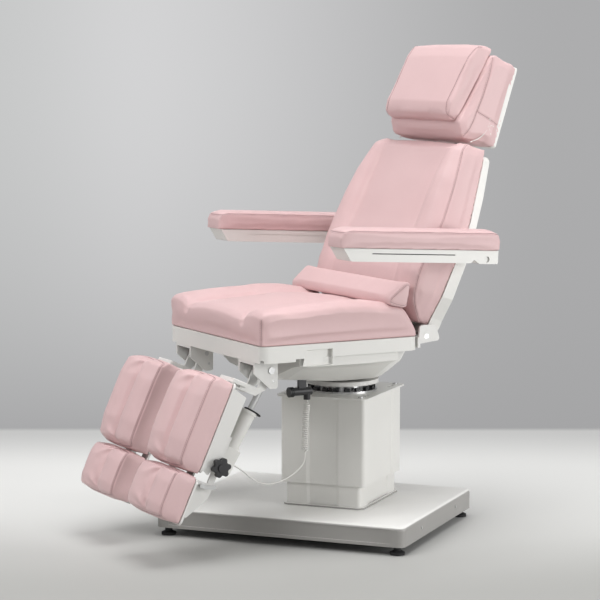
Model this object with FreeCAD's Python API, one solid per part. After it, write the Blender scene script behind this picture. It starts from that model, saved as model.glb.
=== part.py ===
import FreeCAD, Part
import math
import os

from FreeCAD import Placement, Rotation, Vector

os.makedirs("parts", exist_ok=True)

# Podiatry chair, in millimetres: +Z up, sitter faces -Y. It is built with its swivel axis at x = y = 0
# on the floor, and the pieces are moved at the end, so that the origin is below the middle of its box.

# Whole chair
seat_width = 600.0
seat_front_reach = 433.0
seat_rear_reach = 88.0
base_turn_angle = 39.3
back_tilt_angle = 18.0
leg_hang_angle = 24.6
arm_rise_angle = 3.3
overrun = 20.0
fit_gap = 0.3
running_gap = 0.05
slide_gap = 0.2

# Base and its feet
base_length = 785.0
base_width = 634.0
base_front_reach = 461.4
base_side_reach = 346.8
base_height = 59.5
base_wall = 4.0
base_corner_radius = 22.0
base_edge_radius = 12.0
inset_margin = 42.0
inset_height = 41.0
inset_depth = 2.5
collar_width = 9.0
collar_height = 5.0
foot_height = 26.0
foot_disc_radius = 22.0
foot_disc_height = 13.0
foot_stem_radius = 7.0
foot_inset = 30.0
chassis_plate = 8.0
chassis_gap = 3.0
cover_screw_radius = 5.0
cover_screw_depth = 12.0
cover_screw_proud = 1.5

# Lifting column
lower_half_length = 119.6
lower_half_width = 154.0
upper_half_length = 134.8
upper_half_width = 160.3
column_wall = 3.0
column_corner_radius = 12.0
lower_shell_height = 262.0
shell_stop_gap = 8.5
upper_shell_height = 261.0
panel_half_length = 42.0
panel_half_width = 80.0
panel_slope = 10.0
panel_depth = 4.0
plate_thickness = 5.0
plate_border = 9.0
plate_side_border = 17.0
plate_corner_radius = 18.0
plate_screw_radius = 8.0
plate_screw_height = 4.0
plate_screw_inset = 26.0
plate_hole_radius = 7.0
plate_hole_spacing = 30.0
guide_side = 110.0
guide_wall = 5.0
guide_height = 300.0
mast_engagement = 135.0
mast_wall = 5.0
ram_radius = 25.0
ram_height = 266.0
rod_radius = 12.0
rod_length = 315.0
lift_travel_down = 60.0
lift_travel_up = 180.0

# Swivel between the column and the seat
swivel_height = 35.0
swivel_radius = 112.0
swivel_disc = 5.0
swivel_disc_radius = 108.0
swivel_hub_radius = 78.0
swivel_race_radius = 46.0
swivel_block_count = 18
swivel_block_length = 16.0
swivel_block_depth = 12.0
swivel_block_height = 10.0
swivel_blocks_radius = 102.0
swivel_spigot_radius = 30.0

# Seat
tray_depth = 40.0
tray_wall = 4.0
tray_corner_radius = 26.0
tray_lip_height = 8.0
tray_lip_length = 112.0
frame_rail_height = 30.0
frame_rail_width = 30.0
frame_rail_offset = 207.0
frame_post_radius = 50.0
seat_foam_height = 92.0
seat_lobe_crown = 16.0
seat_valley_offset = 182.0
seat_valley_depth = 14.0
seat_side_tuck = 7.0
pan_depth = 113.0
pan_wall = 4.0
pan_half_width = 290.0
pan_skirt_depth = 28.0
pan_setback = 130.0
pan_front_reach = seat_front_reach - pan_setback
stern_drop = 42.0
pan_rear_reach = 205.0
pan_hole_radius = 60.0
pocket_length = 88.0
pocket_height = 46.0
pocket_depth = 9.0

# Leg brackets under the front of the seat
bracket_offset = 207.0
bracket_width = 100.0
bracket_wall = 8.0
bracket_reach = 75.0
bracket_top_plate = 8.0
leg_hinge_back = 56.0
leg_hinge_drop = 26.0
bracket_lobe_drop = 53.0
liner_thickness = 3.0
hinge_pin_radius = 7.0
anchor_arm = 32.0
anchor_pin_radius = 4.0
anchor_play = 4.0
back_eye_play = 5.0

# Leg rests
leg_gap = 57.0
pad_width = 223.0
pad_lift = 104.4
calf_start = 76.0
calf_length = 269.0
foot_pad_gap = 20.0
foot_pad_length = 137.0
pad_seam_rise = 74.0
pad_lobe_crown = 27.0
foot_lobe_crown = 16.0
pad_valley_drop = 6.0
pad_side_tuck = 5.0
leg_tray_thickness = 6.0
leg_flange_depth = 50.0
leg_flange_end_depth = 28.0
leg_flange_wall = 4.0
arm_cheek = 8.0
arm_cheek_spread = 60.0
eye_radius = 13.0
elbow_drop = 84.0
elbow_width = 24.0
elbow_start = 56.0
rail_width = 40.0
rail_thickness = 6.0
rail_spread = 118.0
rail_shift = 18.0
rail_engagement = 186.0
clamp_bar_height = 20.0
clamp_bar_wall = 6.0
clamp_bar_inset = 10.0
foot_travel = 110.0

# Drive of each leg rest
leg_drive_radius = 25.0
leg_drive_tube_length = 118.0
leg_gearbox_length = 72.0
leg_gearbox_half = 26.0
leg_motor_radius = 21.0
leg_motor_length = 92.0
leg_rod_radius = 9.0
leg_rod_eye = 13.0
leg_rod_eye_width = 14.0
leg_tail_pin_along = 306.0
leg_tail_pin_out = 11.4
tail_pin_radius = 5.0
tail_lug_wall = 5.0
tail_lug_radius = 14.0

# Knob and lever on each leg rest
knob_along = 310.0
knob_out = 55.0
knob_radius = 24.0
knob_lobe_radius = 8.0
knob_lobe_count = 6
knob_thickness = 20.0
knob_stem_radius = 4.0
lever_length = 44.0
lever_width = 12.0
lever_thickness = 7.0
lever_stem_radius = 4.0

# Backrest
back_hinge_reach = 118.0
back_length = 566.0
back_half_width = 296.0
back_shell_wall = 4.0
back_shell_low_depth = 38.0
back_shell_top_depth = 16.0
back_set_back = 77.0
back_foam = 110.0
lumbar_rise = 61.0
back_lobe_crown = 27.0
back_middle_crown = 9.0
back_valley_offset = 185.0
back_valley_rise = 8.0
back_side_tuck = 7.0
back_tube_radius = 11.0
back_upright_width = 40.0
back_upright_thickness = 7.0
back_upright_offset = 130.0
hinge_plate_wall = 8.0
hinge_plate_length = 76.0
hinge_plate_height = 55.0
back_lever_length = 50.0
back_lever_width = 12.0
back_tail_setback = 71.0
back_tail_drop = 25.0
back_drive_offset = 84.0
back_ram_radius = 24.0
back_ram_length = 210.0
back_rod_radius = 9.0
lumbar_half_width = 302.0
lumbar_depth = 86.0
lumbar_heel = 20.0
lumbar_height = 84.0
lumbar_front_rise = 14.0
lumbar_sink = 3.8
lumbar_gap = 6.0

# Headrest
head_gap = 34.0
head_length = 274.0
head_half_width = 197.0
head_depth = 92.0
head_setback = 22.0
head_lip = 33.0
head_lip_rise = 40.0
head_shell_wall = 5.0
head_rim = 10.0
pillow_length = 252.0
pillow_thick = 50.0
pillow_top_thick = 64.0
pillow_half_width = 190.0
head_rod_radius = 5.0
head_rod_spacing = 120.0
head_rod_engagement = 95.0
head_rod_depth = 67.0
head_rod_grip = 24.0
head_travel = 80.0
elastic_radius = 1.6

# Armrests
arm_offset = 382.0
arm_width = 90.0
arm_length = 537.0
arm_set_back = 28.0
arm_pad_thickness = 58.0
arm_pad_lift = 25.5
arm_pad_rear = 18.0
arm_crown = 5.0
arm_shell_inset = 5.0
arm_shell_depth = 37.0
arm_block_length = 62.0
arm_block_drop = 13.0
arm_groove = 3.0
arm_pivot_share = 0.4558
arm_pivot_along = back_length * arm_pivot_share
arm_pivot_depth = 48.0
arm_pivot_radius = 9.0

# Lead of the leg drives, plug and housing
control_length = 150.0
control_width = 90.0
control_height = 42.0
control_offset = 132.0
plug_radius = 12.0
plug_length = 60.0
plug_offset = 145.0
plug_setback = 116.0
plug_reach = pan_front_reach - plug_setback
plug_drop = 37.0
plug_nose = 13.0
ring_radius = 15.0
ring_length = 14.0
cord_radius = 2.2
curl_radius = 8.0
curl_count = 25
curl_run_share = 0.07

# Heights that follow from the sizes above
z_base_low = foot_height
z_base_top = z_base_low + base_height
z_chassis_top = z_base_low + chassis_plate
z_upper_low = z_base_top + lift_travel_down + shell_stop_gap
z_plate_low = z_upper_low + upper_shell_height
z_plate_top = z_plate_low + plate_thickness
z_pan_low = z_plate_top + swivel_height
z_tray_low = z_pan_low + pan_depth
z_tray_top = z_tray_low + tray_depth
z_foam_top = z_tray_top + seat_foam_height
seat_half = seat_width / 2
leg_hinge_y = leg_hinge_back - seat_front_reach
leg_hinge_z = z_tray_low - tray_lip_height - leg_hinge_drop
back_hinge_z = z_tray_top - fit_gap * 5
X_AXIS = Vector(1, 0, 0)
Y_AXIS = Vector(0, 1, 0)
Z_AXIS = Vector(0, 0, 1)
ORIGIN = Vector(0, 0, 0)


# Shapes that several pieces share
def corner_arc(before, here, after, radius):
    """Start, middle and end of the arc that rounds the corner 'here' of an outline."""
    back = (before - here).normalize()
    ahead = (after - here).normalize()
    half = back.getAngle(ahead) / 2
    reach = radius / math.tan(half)
    middle = (back + ahead).normalize() * (radius / math.sin(half) - radius)
    return here + back * reach, here + middle, here + ahead * reach


def outline(corners, place):
    """Closed wire through corners (a, b, radius), with place(a, b) giving each point in space."""
    points = [place(a, b) for a, b, radius in corners]
    count = len(corners)
    arcs = []
    for index, (a, b, radius) in enumerate(corners):
        here = points[index]
        if radius > 0:
            arcs.append(corner_arc(points[index - 1], here, points[(index + 1) % count], radius))
        else:
            arcs.append((here, None, here))
    edges = []
    for index, (start, middle, end) in enumerate(arcs):
        if middle is not None:
            edges.append(Part.Arc(start, middle, end).toShape())
        following = arcs[(index + 1) % count][0]
        if end.distanceToPoint(following) > 1e-6:
            edges.append(Part.LineSegment(end, following).toShape())
    return Part.Wire(edges)


def prism(corners, place, sweep):
    """Solid swept from the face inside an outline."""
    return Part.Face(outline(corners, place)).extrude(sweep)


def block(x_low, x_high, y_low, y_high, z_low, z_high, corner=0):
    """Upright block between two corners, its vertical edges rounded."""
    corners = [(x_low, y_low, corner), (x_high, y_low, corner), (x_high, y_high, corner), (x_low, y_high, corner)]
    return prism(corners, lambda a, b: Vector(a, b, z_low), Z_AXIS * (z_high - z_low))


def rod(start, end, radius):
    """Round bar between two points."""
    return Part.makeCylinder(radius, start.distanceToPoint(end), start, end - start)


def side_plate(corners, place, x_low, x_high):
    """Plate square to X, cut to an outline that place(x, a, b) sets in space."""
    return prism(corners, lambda a, b: place(x_low, a, b), X_AXIS * (x_high - x_low))


def mirrored(shape):
    """The same piece on the other side of the chair."""
    return shape.mirror(ORIGIN, X_AXIS)


def both_sides(shape):
    """The piece and its mirror image as separate solids of one node."""
    return Part.makeCompound([shape, mirrored(shape)])


def fused(shapes):
    """One solid from touching shapes, without the seams between them."""
    return shapes[0].fuse(shapes[1:]).removeSplitter()


def cushion_wire(place, half_width, low, seam, tuck, valleys, valley_drop, crown, middle_crown):
    """Line across a cushion: flat base, sides drawn in, crowned lobes between sewn valleys."""
    middle = (low + seam) / 2
    edges = [Part.LineSegment(place(-half_width, low), place(half_width, low)).toShape()]
    edges.append(Part.Arc(place(half_width, low), place(half_width - tuck, middle), place(half_width, seam)).toShape())
    stops = [(half_width, seam)] + [(valley, seam - valley_drop) for valley in valleys] + [(-half_width, seam)]
    for (a, b), (a_next, b_next) in zip(stops, stops[1:]):
        rise = middle_crown if a + a_next == 0 else crown
        top = place((a + a_next) / 2, (b + b_next) / 2 + rise)
        edges.append(Part.Arc(place(a, b), top, place(a_next, b_next)).toShape())
    edges.append(Part.Arc(place(-half_width, seam), place(tuck - half_width, middle), place(-half_width, low)).toShape())
    return Part.Wire(edges)


# Base cover: a moulded shell with rounded edges, a shallow inset along its long sides and a column collar
base_centre_u = base_length / 2 - base_front_reach
base_centre_v = base_width / 2 - base_side_reach
base_low_u = base_centre_u - base_length / 2
base_high_u = base_centre_u + base_length / 2
base_low_v = base_centre_v - base_width / 2
base_high_v = base_centre_v + base_width / 2


def turned(shape):
    """Turn a shape from the base's own frame to the angle at which the base stands."""
    turned_shape = shape.copy()
    turned_shape.rotate(ORIGIN, Z_AXIS, base_turn_angle)
    return turned_shape


def base_cover():
    outer = block(base_low_u, base_high_u, base_low_v, base_high_v, z_base_low, z_base_top, base_corner_radius)
    rim = [edge for edge in outer.Edges if all(abs(vertex.Z - z_base_top) < fit_gap for vertex in edge.Vertexes)]
    shell = outer.makeFillet(base_edge_radius, rim)
    inner_corner = base_corner_radius - base_wall
    hollow = block(base_low_u + base_wall, base_high_u - base_wall, base_low_v + base_wall, base_high_v - base_wall,
                   z_base_low - overrun, z_base_top - base_wall, inner_corner)
    inset_low = z_base_low + (base_height - inset_height) / 2
    insets = [block(base_low_u + inset_margin, base_high_u - inset_margin, face - inset_depth, face + inset_depth,
                    inset_low, inset_low + inset_height)
              for face in (base_low_v, base_high_v)]
    collar = block(-lower_half_length - collar_width, lower_half_length + collar_width,
                   -lower_half_width - collar_width, lower_half_width + collar_width,
                   z_base_top - base_wall, z_base_top + collar_height, column_corner_radius + collar_width)
    throat_u = lower_half_length + fit_gap
    throat_v = lower_half_width + fit_gap
    throat = block(-throat_u, throat_u, -throat_v, throat_v, z_base_top, z_base_top + overrun, column_corner_radius)
    well_u = lower_half_length - column_wall - panel_depth
    well_v = lower_half_width - column_wall - panel_depth
    well = block(-well_u, well_u, -well_v, well_v, z_base_low, z_base_top + overrun, column_corner_radius)
    cover = shell.fuse(collar).cut([hollow, throat, well] + insets).removeSplitter()
    return turned(cover.cut(cover_screw_bars(running_gap)))


def cover_screw_bars(gap):
    """Screws that hold the cover to the chassis, two on each short side."""
    height = z_base_low + base_height / 2
    bars = []
    for v in (base_low_v + base_width / 4, base_high_v - base_width / 4):
        bars.append(rod(Vector(base_high_u - cover_screw_depth, v, height),
                        Vector(base_high_u + cover_screw_proud, v, height), cover_screw_radius + gap))
        bars.append(rod(Vector(base_low_u - cover_screw_proud, v, height),
                        Vector(base_low_u + cover_screw_depth, v, height), cover_screw_radius + gap))
    return bars


def base_chassis():
    """Steel plate with an upstand for the cover screws, a boss over each foot and a seat for the guide."""
    inset = base_wall + chassis_gap
    plate = block(base_low_u + inset, base_high_u - inset, base_low_v + inset, base_high_v - inset,
                  z_base_low, z_chassis_top, base_corner_radius - base_wall)
    upstands = []
    for u in (base_low_u + inset, base_high_u - inset - chassis_plate):
        upstands.append(block(u, u + chassis_plate, base_low_v + base_width / 8, base_high_v - base_width / 8,
                              z_chassis_top, z_base_top - base_wall - chassis_gap))
    holes = [rod(Vector(u, v, z_base_low - overrun), Vector(u, v, z_chassis_top + overrun), foot_stem_radius + running_gap)
             for u, v in foot_places()]
    chassis = fused([plate] + upstands).cut(holes).cut(cover_screw_bars(running_gap))
    return turned(chassis)


def foot_places():
    return [(u, v) for u in (base_low_u + foot_inset, base_high_u - foot_inset)
            for v in (base_low_v + foot_inset, base_high_v - foot_inset)]


def levelling_feet():
    """Four feet: a rubber disc with a bevelled top, on a threaded stem with a nut above the chassis."""
    feet = []
    neck = foot_disc_height * 0.4
    for u, v in foot_places():
        profile = [(0, 0, 0), (foot_disc_radius, 0, 0), (foot_disc_radius, foot_disc_height - neck, 0),
                   (foot_stem_radius * 1.6, foot_disc_height, 0), (foot_stem_radius * 1.6, z_base_low, 0),
                   (foot_stem_radius, z_base_low, 0), (foot_stem_radius, z_chassis_top + chassis_plate, 0),
                   (0, z_chassis_top + chassis_plate, 0)]
        wire = outline(profile, lambda a, b: Vector(u + a, v, b))
        feet.append(Part.Face(wire).revolve(Vector(u, v, 0), Z_AXIS, 360))
    return turned(Part.makeCompound(feet))


# Lifting column: two telescoping covers over a steel guide and mast, with the ram inside
def panelled_outline(half_u, half_v, corner):
    """Rectangle with rounded corners and a shallow recessed panel in each side."""
    corners = []
    sides = [(half_v, half_u, panel_half_width, 1, 0), (half_u, half_v, panel_half_length, 0, 1),
             (half_v, half_u, panel_half_width, -1, 0), (half_u, half_v, panel_half_length, 0, -1)]
    for run, out, panel, normal_u, normal_v in sides:
        for along, depth, radius in ((-run, 0, corner), (-panel - panel_slope, 0, 0), (-panel, panel_depth, 0),
                                     (panel, panel_depth, 0), (panel + panel_slope, 0, 0)):
            reach = out - depth
            corners.append((normal_u * reach - normal_v * along, normal_v * reach + normal_u * along, radius))
    return corners


def column_shell(half_u, half_v, z_low, z_high):
    """Column cover of even wall, open at both ends."""
    outer = prism(panelled_outline(half_u, half_v, column_corner_radius),
                  lambda a, b: Vector(a, b, z_low), Z_AXIS * (z_high - z_low))
    inner = prism(panelled_outline(half_u - column_wall, half_v - column_wall, column_corner_radius - column_wall),
                  lambda a, b: Vector(a, b, z_low - overrun), Z_AXIS * (z_high - z_low + 2 * overrun))
    return turned(outer.cut(inner))


def square_tube(side, wall, z_low, z_high):
    half = side / 2
    inner = half - wall
    return turned(block(-half, half, -half, half, z_low, z_high, wall).cut(
        block(-inner, inner, -inner, inner, z_low - overrun, z_high + overrun)))


def plate_corner_places(inset):
    half_u = upper_half_length + plate_border - inset
    half_v = upper_half_width + plate_side_border - inset
    return [(half_u, half_v), (half_u, -half_v), (-half_u, half_v), (-half_u, -half_v)]


def column_top_plate():
    half_u = upper_half_length + plate_border
    half_v = upper_half_width + plate_side_border
    plate = block(-half_u, half_u, -half_v, half_v, z_plate_low, z_plate_top, plate_corner_radius)
    holes = []
    for u, v in plate_corner_places(plate_screw_inset):
        low = Vector(u, v, z_plate_low - overrun)
        high = Vector(u, v, z_plate_top + overrun)
        holes.append(rod(low, high, plate_screw_radius / 2 + running_gap))
        shift = Vector(0, -math.copysign(plate_hole_spacing, v), 0)
        holes.append(rod(low + shift, high + shift, plate_hole_radius))
        holes.append(rod(low + shift * 2, high + shift * 2, plate_hole_radius))
    return turned(plate.cut(holes))


def plate_screws():
    """Round-headed screws through the corners of the top plate, each with its nut below."""
    screws = []
    for u, v in plate_corner_places(plate_screw_inset):
        head = rod(Vector(u, v, z_plate_top), Vector(u, v, z_plate_top + plate_screw_height), plate_screw_radius)
        shank = rod(Vector(u, v, z_plate_low - plate_screw_height), Vector(u, v, z_plate_top), plate_screw_radius / 2)
        screws.append(head.fuse(shank))
    return turned(Part.makeCompound(screws))


mast_side = guide_side - 2 * guide_wall - 2 * slide_gap
z_mast_low = z_plate_low - lift_travel_up - mast_engagement
z_guide_top = z_chassis_top + guide_height
ram_shift = ram_radius / 2
rod_foot = z_plate_low - rod_length


def lift_motor():
    """Ram tube on the chassis with its geared motor beside it."""
    tube = rod(Vector(-ram_shift, 0, z_chassis_top), Vector(-ram_shift, 0, z_chassis_top + ram_height), ram_radius)
    bore = rod(Vector(-ram_shift, 0, z_chassis_top + column_wall),
               Vector(-ram_shift, 0, z_chassis_top + ram_height + overrun), rod_radius + running_gap)
    motor_radius = ram_radius * 0.6
    motor_u = ram_radius + motor_radius - ram_shift - fit_gap
    motor = rod(Vector(motor_u, 0, z_chassis_top), Vector(motor_u, 0, z_chassis_top + ram_height / 3), motor_radius)
    return turned(tube.fuse(motor).removeSplitter().cut(bore))


def lift_push_rod():
    return turned(rod(Vector(-ram_shift, 0, rod_foot), Vector(-ram_shift, 0, z_plate_low), rod_radius))


# Swivel: a disc with a hub on the column, bearing blocks round it and the turning ring above
z_hub_top = z_plate_top + (swivel_height - swivel_disc) * 0.75
z_ring_low = z_hub_top + fit_gap


def swivel_ring_lower():
    disc = rod(Vector(0, 0, z_plate_top), Vector(0, 0, z_plate_top + swivel_disc), swivel_disc_radius)
    hub = rod(Vector(0, 0, z_plate_top), Vector(0, 0, z_hub_top), swivel_hub_radius)
    bore = rod(Vector(0, 0, z_plate_top - overrun), Vector(0, 0, z_hub_top + overrun),
               swivel_spigot_radius + running_gap)
    return fused([disc, hub]).cut(bore)


def swivel_blocks():
    """Bearing blocks set on the disc, evenly round the hub."""
    blocks = []
    low = z_plate_top + swivel_disc
    for index in range(swivel_block_count):
        piece = block(swivel_blocks_radius - swivel_block_depth, swivel_blocks_radius,
                      -swivel_block_length / 2, swivel_block_length / 2, low, low + swivel_block_height)
        piece.rotate(ORIGIN, Z_AXIS, index * 360 / swivel_block_count)
        blocks.append(piece)
    return Part.makeCompound(blocks)


def swivel_ring_upper():
    ring = rod(Vector(0, 0, z_ring_low), Vector(0, 0, z_pan_low), swivel_radius)
    race = rod(Vector(0, 0, z_ring_low - overrun), Vector(0, 0, z_pan_low + overrun), swivel_race_radius)
    spigot = rod(Vector(0, 0, z_plate_top + fit_gap), Vector(0, 0, z_pan_low), swivel_spigot_radius)
    web = rod(Vector(0, 0, z_ring_low), Vector(0, 0, z_pan_low), swivel_race_radius)
    return fused([ring.cut(race), web, spigot])


# Seat pan: a boat-shaped moulded hull, deepest over the swivel and drawn up to a narrow stern
def pan_section(y, half_width, skirt, side, keel, wall):
    """Line across the hull at y: skirt, slanted bilge and a keel arc, each moved in by the wall."""
    hw = half_width - wall
    z_top = z_tray_low if wall == 0 else z_tray_low + overrun
    z_skirt = z_tray_low - skirt + wall
    z_side = z_tray_low - side + wall
    z_keel = z_tray_low - keel + wall
    bilge = hw * 0.86
    chine = hw * 0.52
    points = [Vector(-hw, y, z_top), Vector(-hw, y, z_skirt), Vector(-bilge, y, z_skirt - (z_skirt - z_side) * 0.2),
              Vector(-chine, y, z_side)]
    mirror = [Vector(-point.x, y, point.z) for point in reversed(points)]
    edges = [Part.LineSegment(a, b).toShape() for a, b in zip(points, points[1:])]
    edges.append(Part.Arc(points[-1], Vector(0, y, z_keel), mirror[0]).toShape())
    edges += [Part.LineSegment(a, b).toShape() for a, b in zip(mirror, mirror[1:])]
    edges.append(Part.LineSegment(mirror[-1], points[0]).toShape())
    return Part.Wire(edges)


# Stations of the hull from front to stern: share of the length, of the half width and of the depth at
# the skirt, at the chine and at the keel
hull_shares = [(0.0, 1.0, 0.20, 0.58, 0.66), (0.06, 1.0, 0.24, 0.72, 0.82), (0.36, 1.0, 0.25, 0.84, 0.98),
               (0.46, 1.0, 0.25, 0.86, 1.0), (0.64, 1.0, 0.23, 0.86, 1.0), (0.72, 0.86, 0.20, 0.84, 1.0),
               (0.84, 0.55, 0.16, 0.72, 0.97), (0.95, 0.34, 0.12, 0.55, 0.72), (1.0, 0.22, 0.10, 0.28, 0.36)]


def pan_loft(wall):
    sections = []
    length = pan_front_reach + pan_rear_reach
    for along, width, skirt, side, keel in hull_shares:
        y = -pan_front_reach + wall + along * (length - 2 * wall)
        sections.append(pan_section(y, pan_half_width * width, pan_depth * skirt, pan_depth * side,
                                    pan_depth * keel, wall))
    return Part.makeLoft(sections, True, True)


def side_pockets(x_outer):
    """Slanted shallow pockets, one each side, behind the leg brackets."""
    start = -pan_front_reach + pan_skirt_depth / 2
    low = z_tray_low - pan_skirt_depth * 0.8
    lean = pocket_height * 0.2
    corners = [(start - lean, low, 0), (start + pocket_length, low, 0),
               (start + pocket_length, low + pocket_height, 0), (start, low + pocket_height, 0)]
    pocket = side_plate(corners, lambda x, a, b: Vector(x, a, b), x_outer - pocket_depth, x_outer + overrun)
    return [pocket, mirrored(pocket)]



def seat_pan():
    """Hull of even wall, with a hole over the swivel and a stern cut low so that the back can recline."""
    hull = pan_loft(0).cut(pan_loft(pan_wall))
    hole = rod(Vector(0, 0, z_pan_low - overrun), Vector(0, 0, z_tray_low), pan_hole_radius)
    start = back_hinge_reach - back_shell_low_depth
    corners = [(start, z_tray_low + overrun, 0), (start, z_tray_low - fit_gap, 0),
               (pan_rear_reach + overrun, z_tray_low - stern_drop, 0), (pan_rear_reach + overrun, z_tray_low + overrun, 0)]
    stern = side_plate(corners, lambda x, a, b: Vector(x, a, b), -pan_half_width - overrun, pan_half_width + overrun)
    return hull.cut([hole, stern])


def seat_tray():
    """Shallow band round the seat: an open tray with rounded corners and a lower lip above the brackets."""
    corner = tray_corner_radius
    outer = block(-seat_half, seat_half, -seat_front_reach, seat_rear_reach, z_tray_low, z_tray_top, corner)
    floor = z_tray_top - tray_wall
    inner = block(tray_wall - seat_half, seat_half - tray_wall, tray_wall - seat_front_reach,
                  seat_rear_reach - tray_wall, z_tray_low - overrun, floor, corner - tray_wall)
    lip = block(-seat_half, seat_half, -seat_front_reach, tray_lip_length - seat_front_reach,
                z_tray_low - tray_lip_height, z_tray_low, 0)
    lip_inner = block(tray_wall - seat_half, seat_half - tray_wall, tray_wall - seat_front_reach,
                      tray_lip_length - seat_front_reach + overrun, z_tray_low - tray_lip_height - overrun, z_tray_low)
    footprint = block(-seat_half, seat_half, -seat_front_reach, seat_rear_reach,
                      z_tray_low - tray_lip_height, z_tray_top, corner)
    lip = lip.common(footprint).cut(lip_inner)
    tray = fused([outer.cut(inner), lip])
    slot_half = back_rod_radius + back_eye_play
    slot = block(back_drive_offset - slot_half, back_drive_offset + slot_half, seat_rear_reach - 2 * tray_wall,
                 seat_rear_reach + overrun, z_tray_low - overrun, z_tray_low + slot_half)
    return tray.cut(side_pockets(seat_half) + [slot])


def seat_frame():
    """Steel frame inside the tray: two rails over the leg brackets, cross members and the swivel post."""
    top = z_tray_top - tray_wall
    low = top - frame_rail_height
    front = tray_wall + fit_gap - seat_front_reach
    rear = seat_rear_reach - tray_wall - fit_gap
    half = frame_rail_width / 2
    rails = [block(side * frame_rail_offset - half, side * frame_rail_offset + half, front, rear, low, top)
             for side in (-1, 1)]
    crossings = [block(-frame_rail_offset, frame_rail_offset, y - half, y + half, low, top)
                 for y in (-seat_front_reach * 0.62, 0, rear - half)]
    post = rod(Vector(0, 0, z_pan_low), Vector(0, 0, top), frame_post_radius)
    outriggers = block(tray_corner_radius - seat_half, seat_half - tray_corner_radius, rear - 2 * half, rear, low, top)
    saddles = [block(side * bracket_offset - half, side * bracket_offset + half, front,
                     front + bracket_reach - tray_wall, z_tray_low - tray_lip_height, low) for side in (-1, 1)]
    lugs = []
    for side in (-1, 1):
        x = back_drive_offset + side * (back_ram_radius + fit_gap + tail_lug_wall / 2)
        corners = [(-seat_front_reach * 0.62 - half, low, 0), (back_tail.y + tail_lug_radius, low, 0),
                   (back_tail.y + tail_lug_radius, back_tail.z - tail_lug_radius, tail_lug_radius / 2),
                   (back_tail.y - tail_lug_radius, back_tail.z - tail_lug_radius, tail_lug_radius / 2)]
        lugs.append(side_plate(corners, lambda x, a, b: Vector(x, a, b), x - tail_lug_wall / 2, x + tail_lug_wall / 2))
    frame = fused(rails + crossings + [post, outriggers] + saddles + lugs)
    return frame.cut(rod(back_tail - X_AXIS * back_ram_radius * 2, back_tail + X_AXIS * back_ram_radius * 2,
                         tail_pin_radius))


# Seat cushion: front to back share, share of the foam height at the seam, and inset of the side. Its
# rear end slants down in front of the backrest
seat_shares = [(0.0, 0.86, 0.30), (0.025, 0.98, 0.05), (0.10, 1.02, 0.0), (0.5, 1.12, 0.0), (0.68, 1.07, 0.0),
               (0.80, 0.98, 0.0), (0.87, 0.92, 0.0), (0.915, 0.84, 0.0), (0.96, 0.50, 0.05), (1.0, 0.12, 0.30)]


def seat_cushion():
    sections = []
    length = seat_front_reach + seat_rear_reach
    base = z_tray_top
    for along, height, inset in seat_shares:
        y = -seat_front_reach + along * length
        sections.append(cushion_wire(lambda a, b, y=y: Vector(a, y, b), seat_half - inset * seat_side_tuck, base,
                                     base + seat_foam_height * height, seat_side_tuck * min(height, 1),
                                     (seat_valley_offset, -seat_valley_offset), seat_valley_depth * min(height, 1),
                                     seat_lobe_crown * height, seat_lobe_crown * height))
    return Part.makeLoft(sections, True, True)


# Leg brackets: two side plates with a lobe for the ram, a top plate and a back plate, open in front and below
bracket_top = z_tray_low - tray_lip_height
bracket_front = fit_gap * 5 - seat_front_reach
anchor_y = leg_hinge_y + anchor_arm * 0.225
anchor_z = leg_hinge_z - anchor_arm * 0.974


def leg_bracket():
    """One bracket on the left side, with the holes of the hinge pin and of the ram's anchor pin."""
    rear = bracket_front + bracket_reach
    low = bracket_top - bracket_lobe_drop - leg_hinge_drop
    corners = [(bracket_front, bracket_top, 0), (rear, bracket_top, 0), (rear, low, bracket_wall),
               (rear - bracket_reach / 3, low, bracket_wall / 2),
               (bracket_front, bracket_top - leg_hinge_drop - bracket_wall, bracket_wall / 2)]
    left = bracket_offset - bracket_width / 2
    right = bracket_offset + bracket_width / 2
    sides = [side_plate(corners, lambda x, a, b: Vector(x, a, b), x, x + bracket_wall)
             for x in (left, right - bracket_wall)]
    top = block(left, right, bracket_front, rear, bracket_top - bracket_top_plate, bracket_top)
    back = block(left, right, rear - bracket_wall / 2, rear, leg_hinge_z, bracket_top)
    bracket = fused(sides + [top, back])
    pin_hole = rod(Vector(left - overrun, leg_hinge_y, leg_hinge_z),
                   Vector(right + overrun, leg_hinge_y, leg_hinge_z), hinge_pin_radius)
    anchor_hole = rod(Vector(left - overrun, anchor_y, anchor_z),
                      Vector(right + overrun, anchor_y, anchor_z), anchor_pin_radius)
    return bracket.cut([pin_hole, anchor_hole])


def socket_liner():
    """Black lining under the top plate and against the back plate of a bracket."""
    left = bracket_offset - bracket_width / 2 + bracket_wall + fit_gap
    right = bracket_offset + bracket_width / 2 - bracket_wall - fit_gap
    rear = bracket_front + bracket_reach - bracket_wall / 2
    high = bracket_top - bracket_top_plate
    top = block(left, right, bracket_front + liner_thickness, rear, high - liner_thickness, high)
    back = block(left, right, rear - liner_thickness, rear, leg_hinge_z, high)
    return fused([top, back])


def leg_pins():
    """Hinge pin and ram anchor pin of one leg rest, each with a thin head."""
    left = bracket_offset - bracket_width / 2
    right = bracket_offset + bracket_width / 2
    hinge = rod(Vector(left, leg_hinge_y, leg_hinge_z), Vector(right, leg_hinge_y, leg_hinge_z), hinge_pin_radius)
    head = rod(Vector(right, leg_hinge_y, leg_hinge_z),
               Vector(right + liner_thickness, leg_hinge_y, leg_hinge_z), hinge_pin_radius * 1.4)
    anchor = rod(Vector(left, anchor_y, anchor_z), Vector(right, anchor_y, anchor_z), anchor_pin_radius)
    return [hinge.fuse(head), anchor]


# Leg rests, in a frame of their own: x across, 'out' towards the pad, 'along' down the leg from the hinge
leg_sin = math.sin(math.radians(leg_hang_angle))
leg_cos = math.cos(math.radians(leg_hang_angle))


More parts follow.
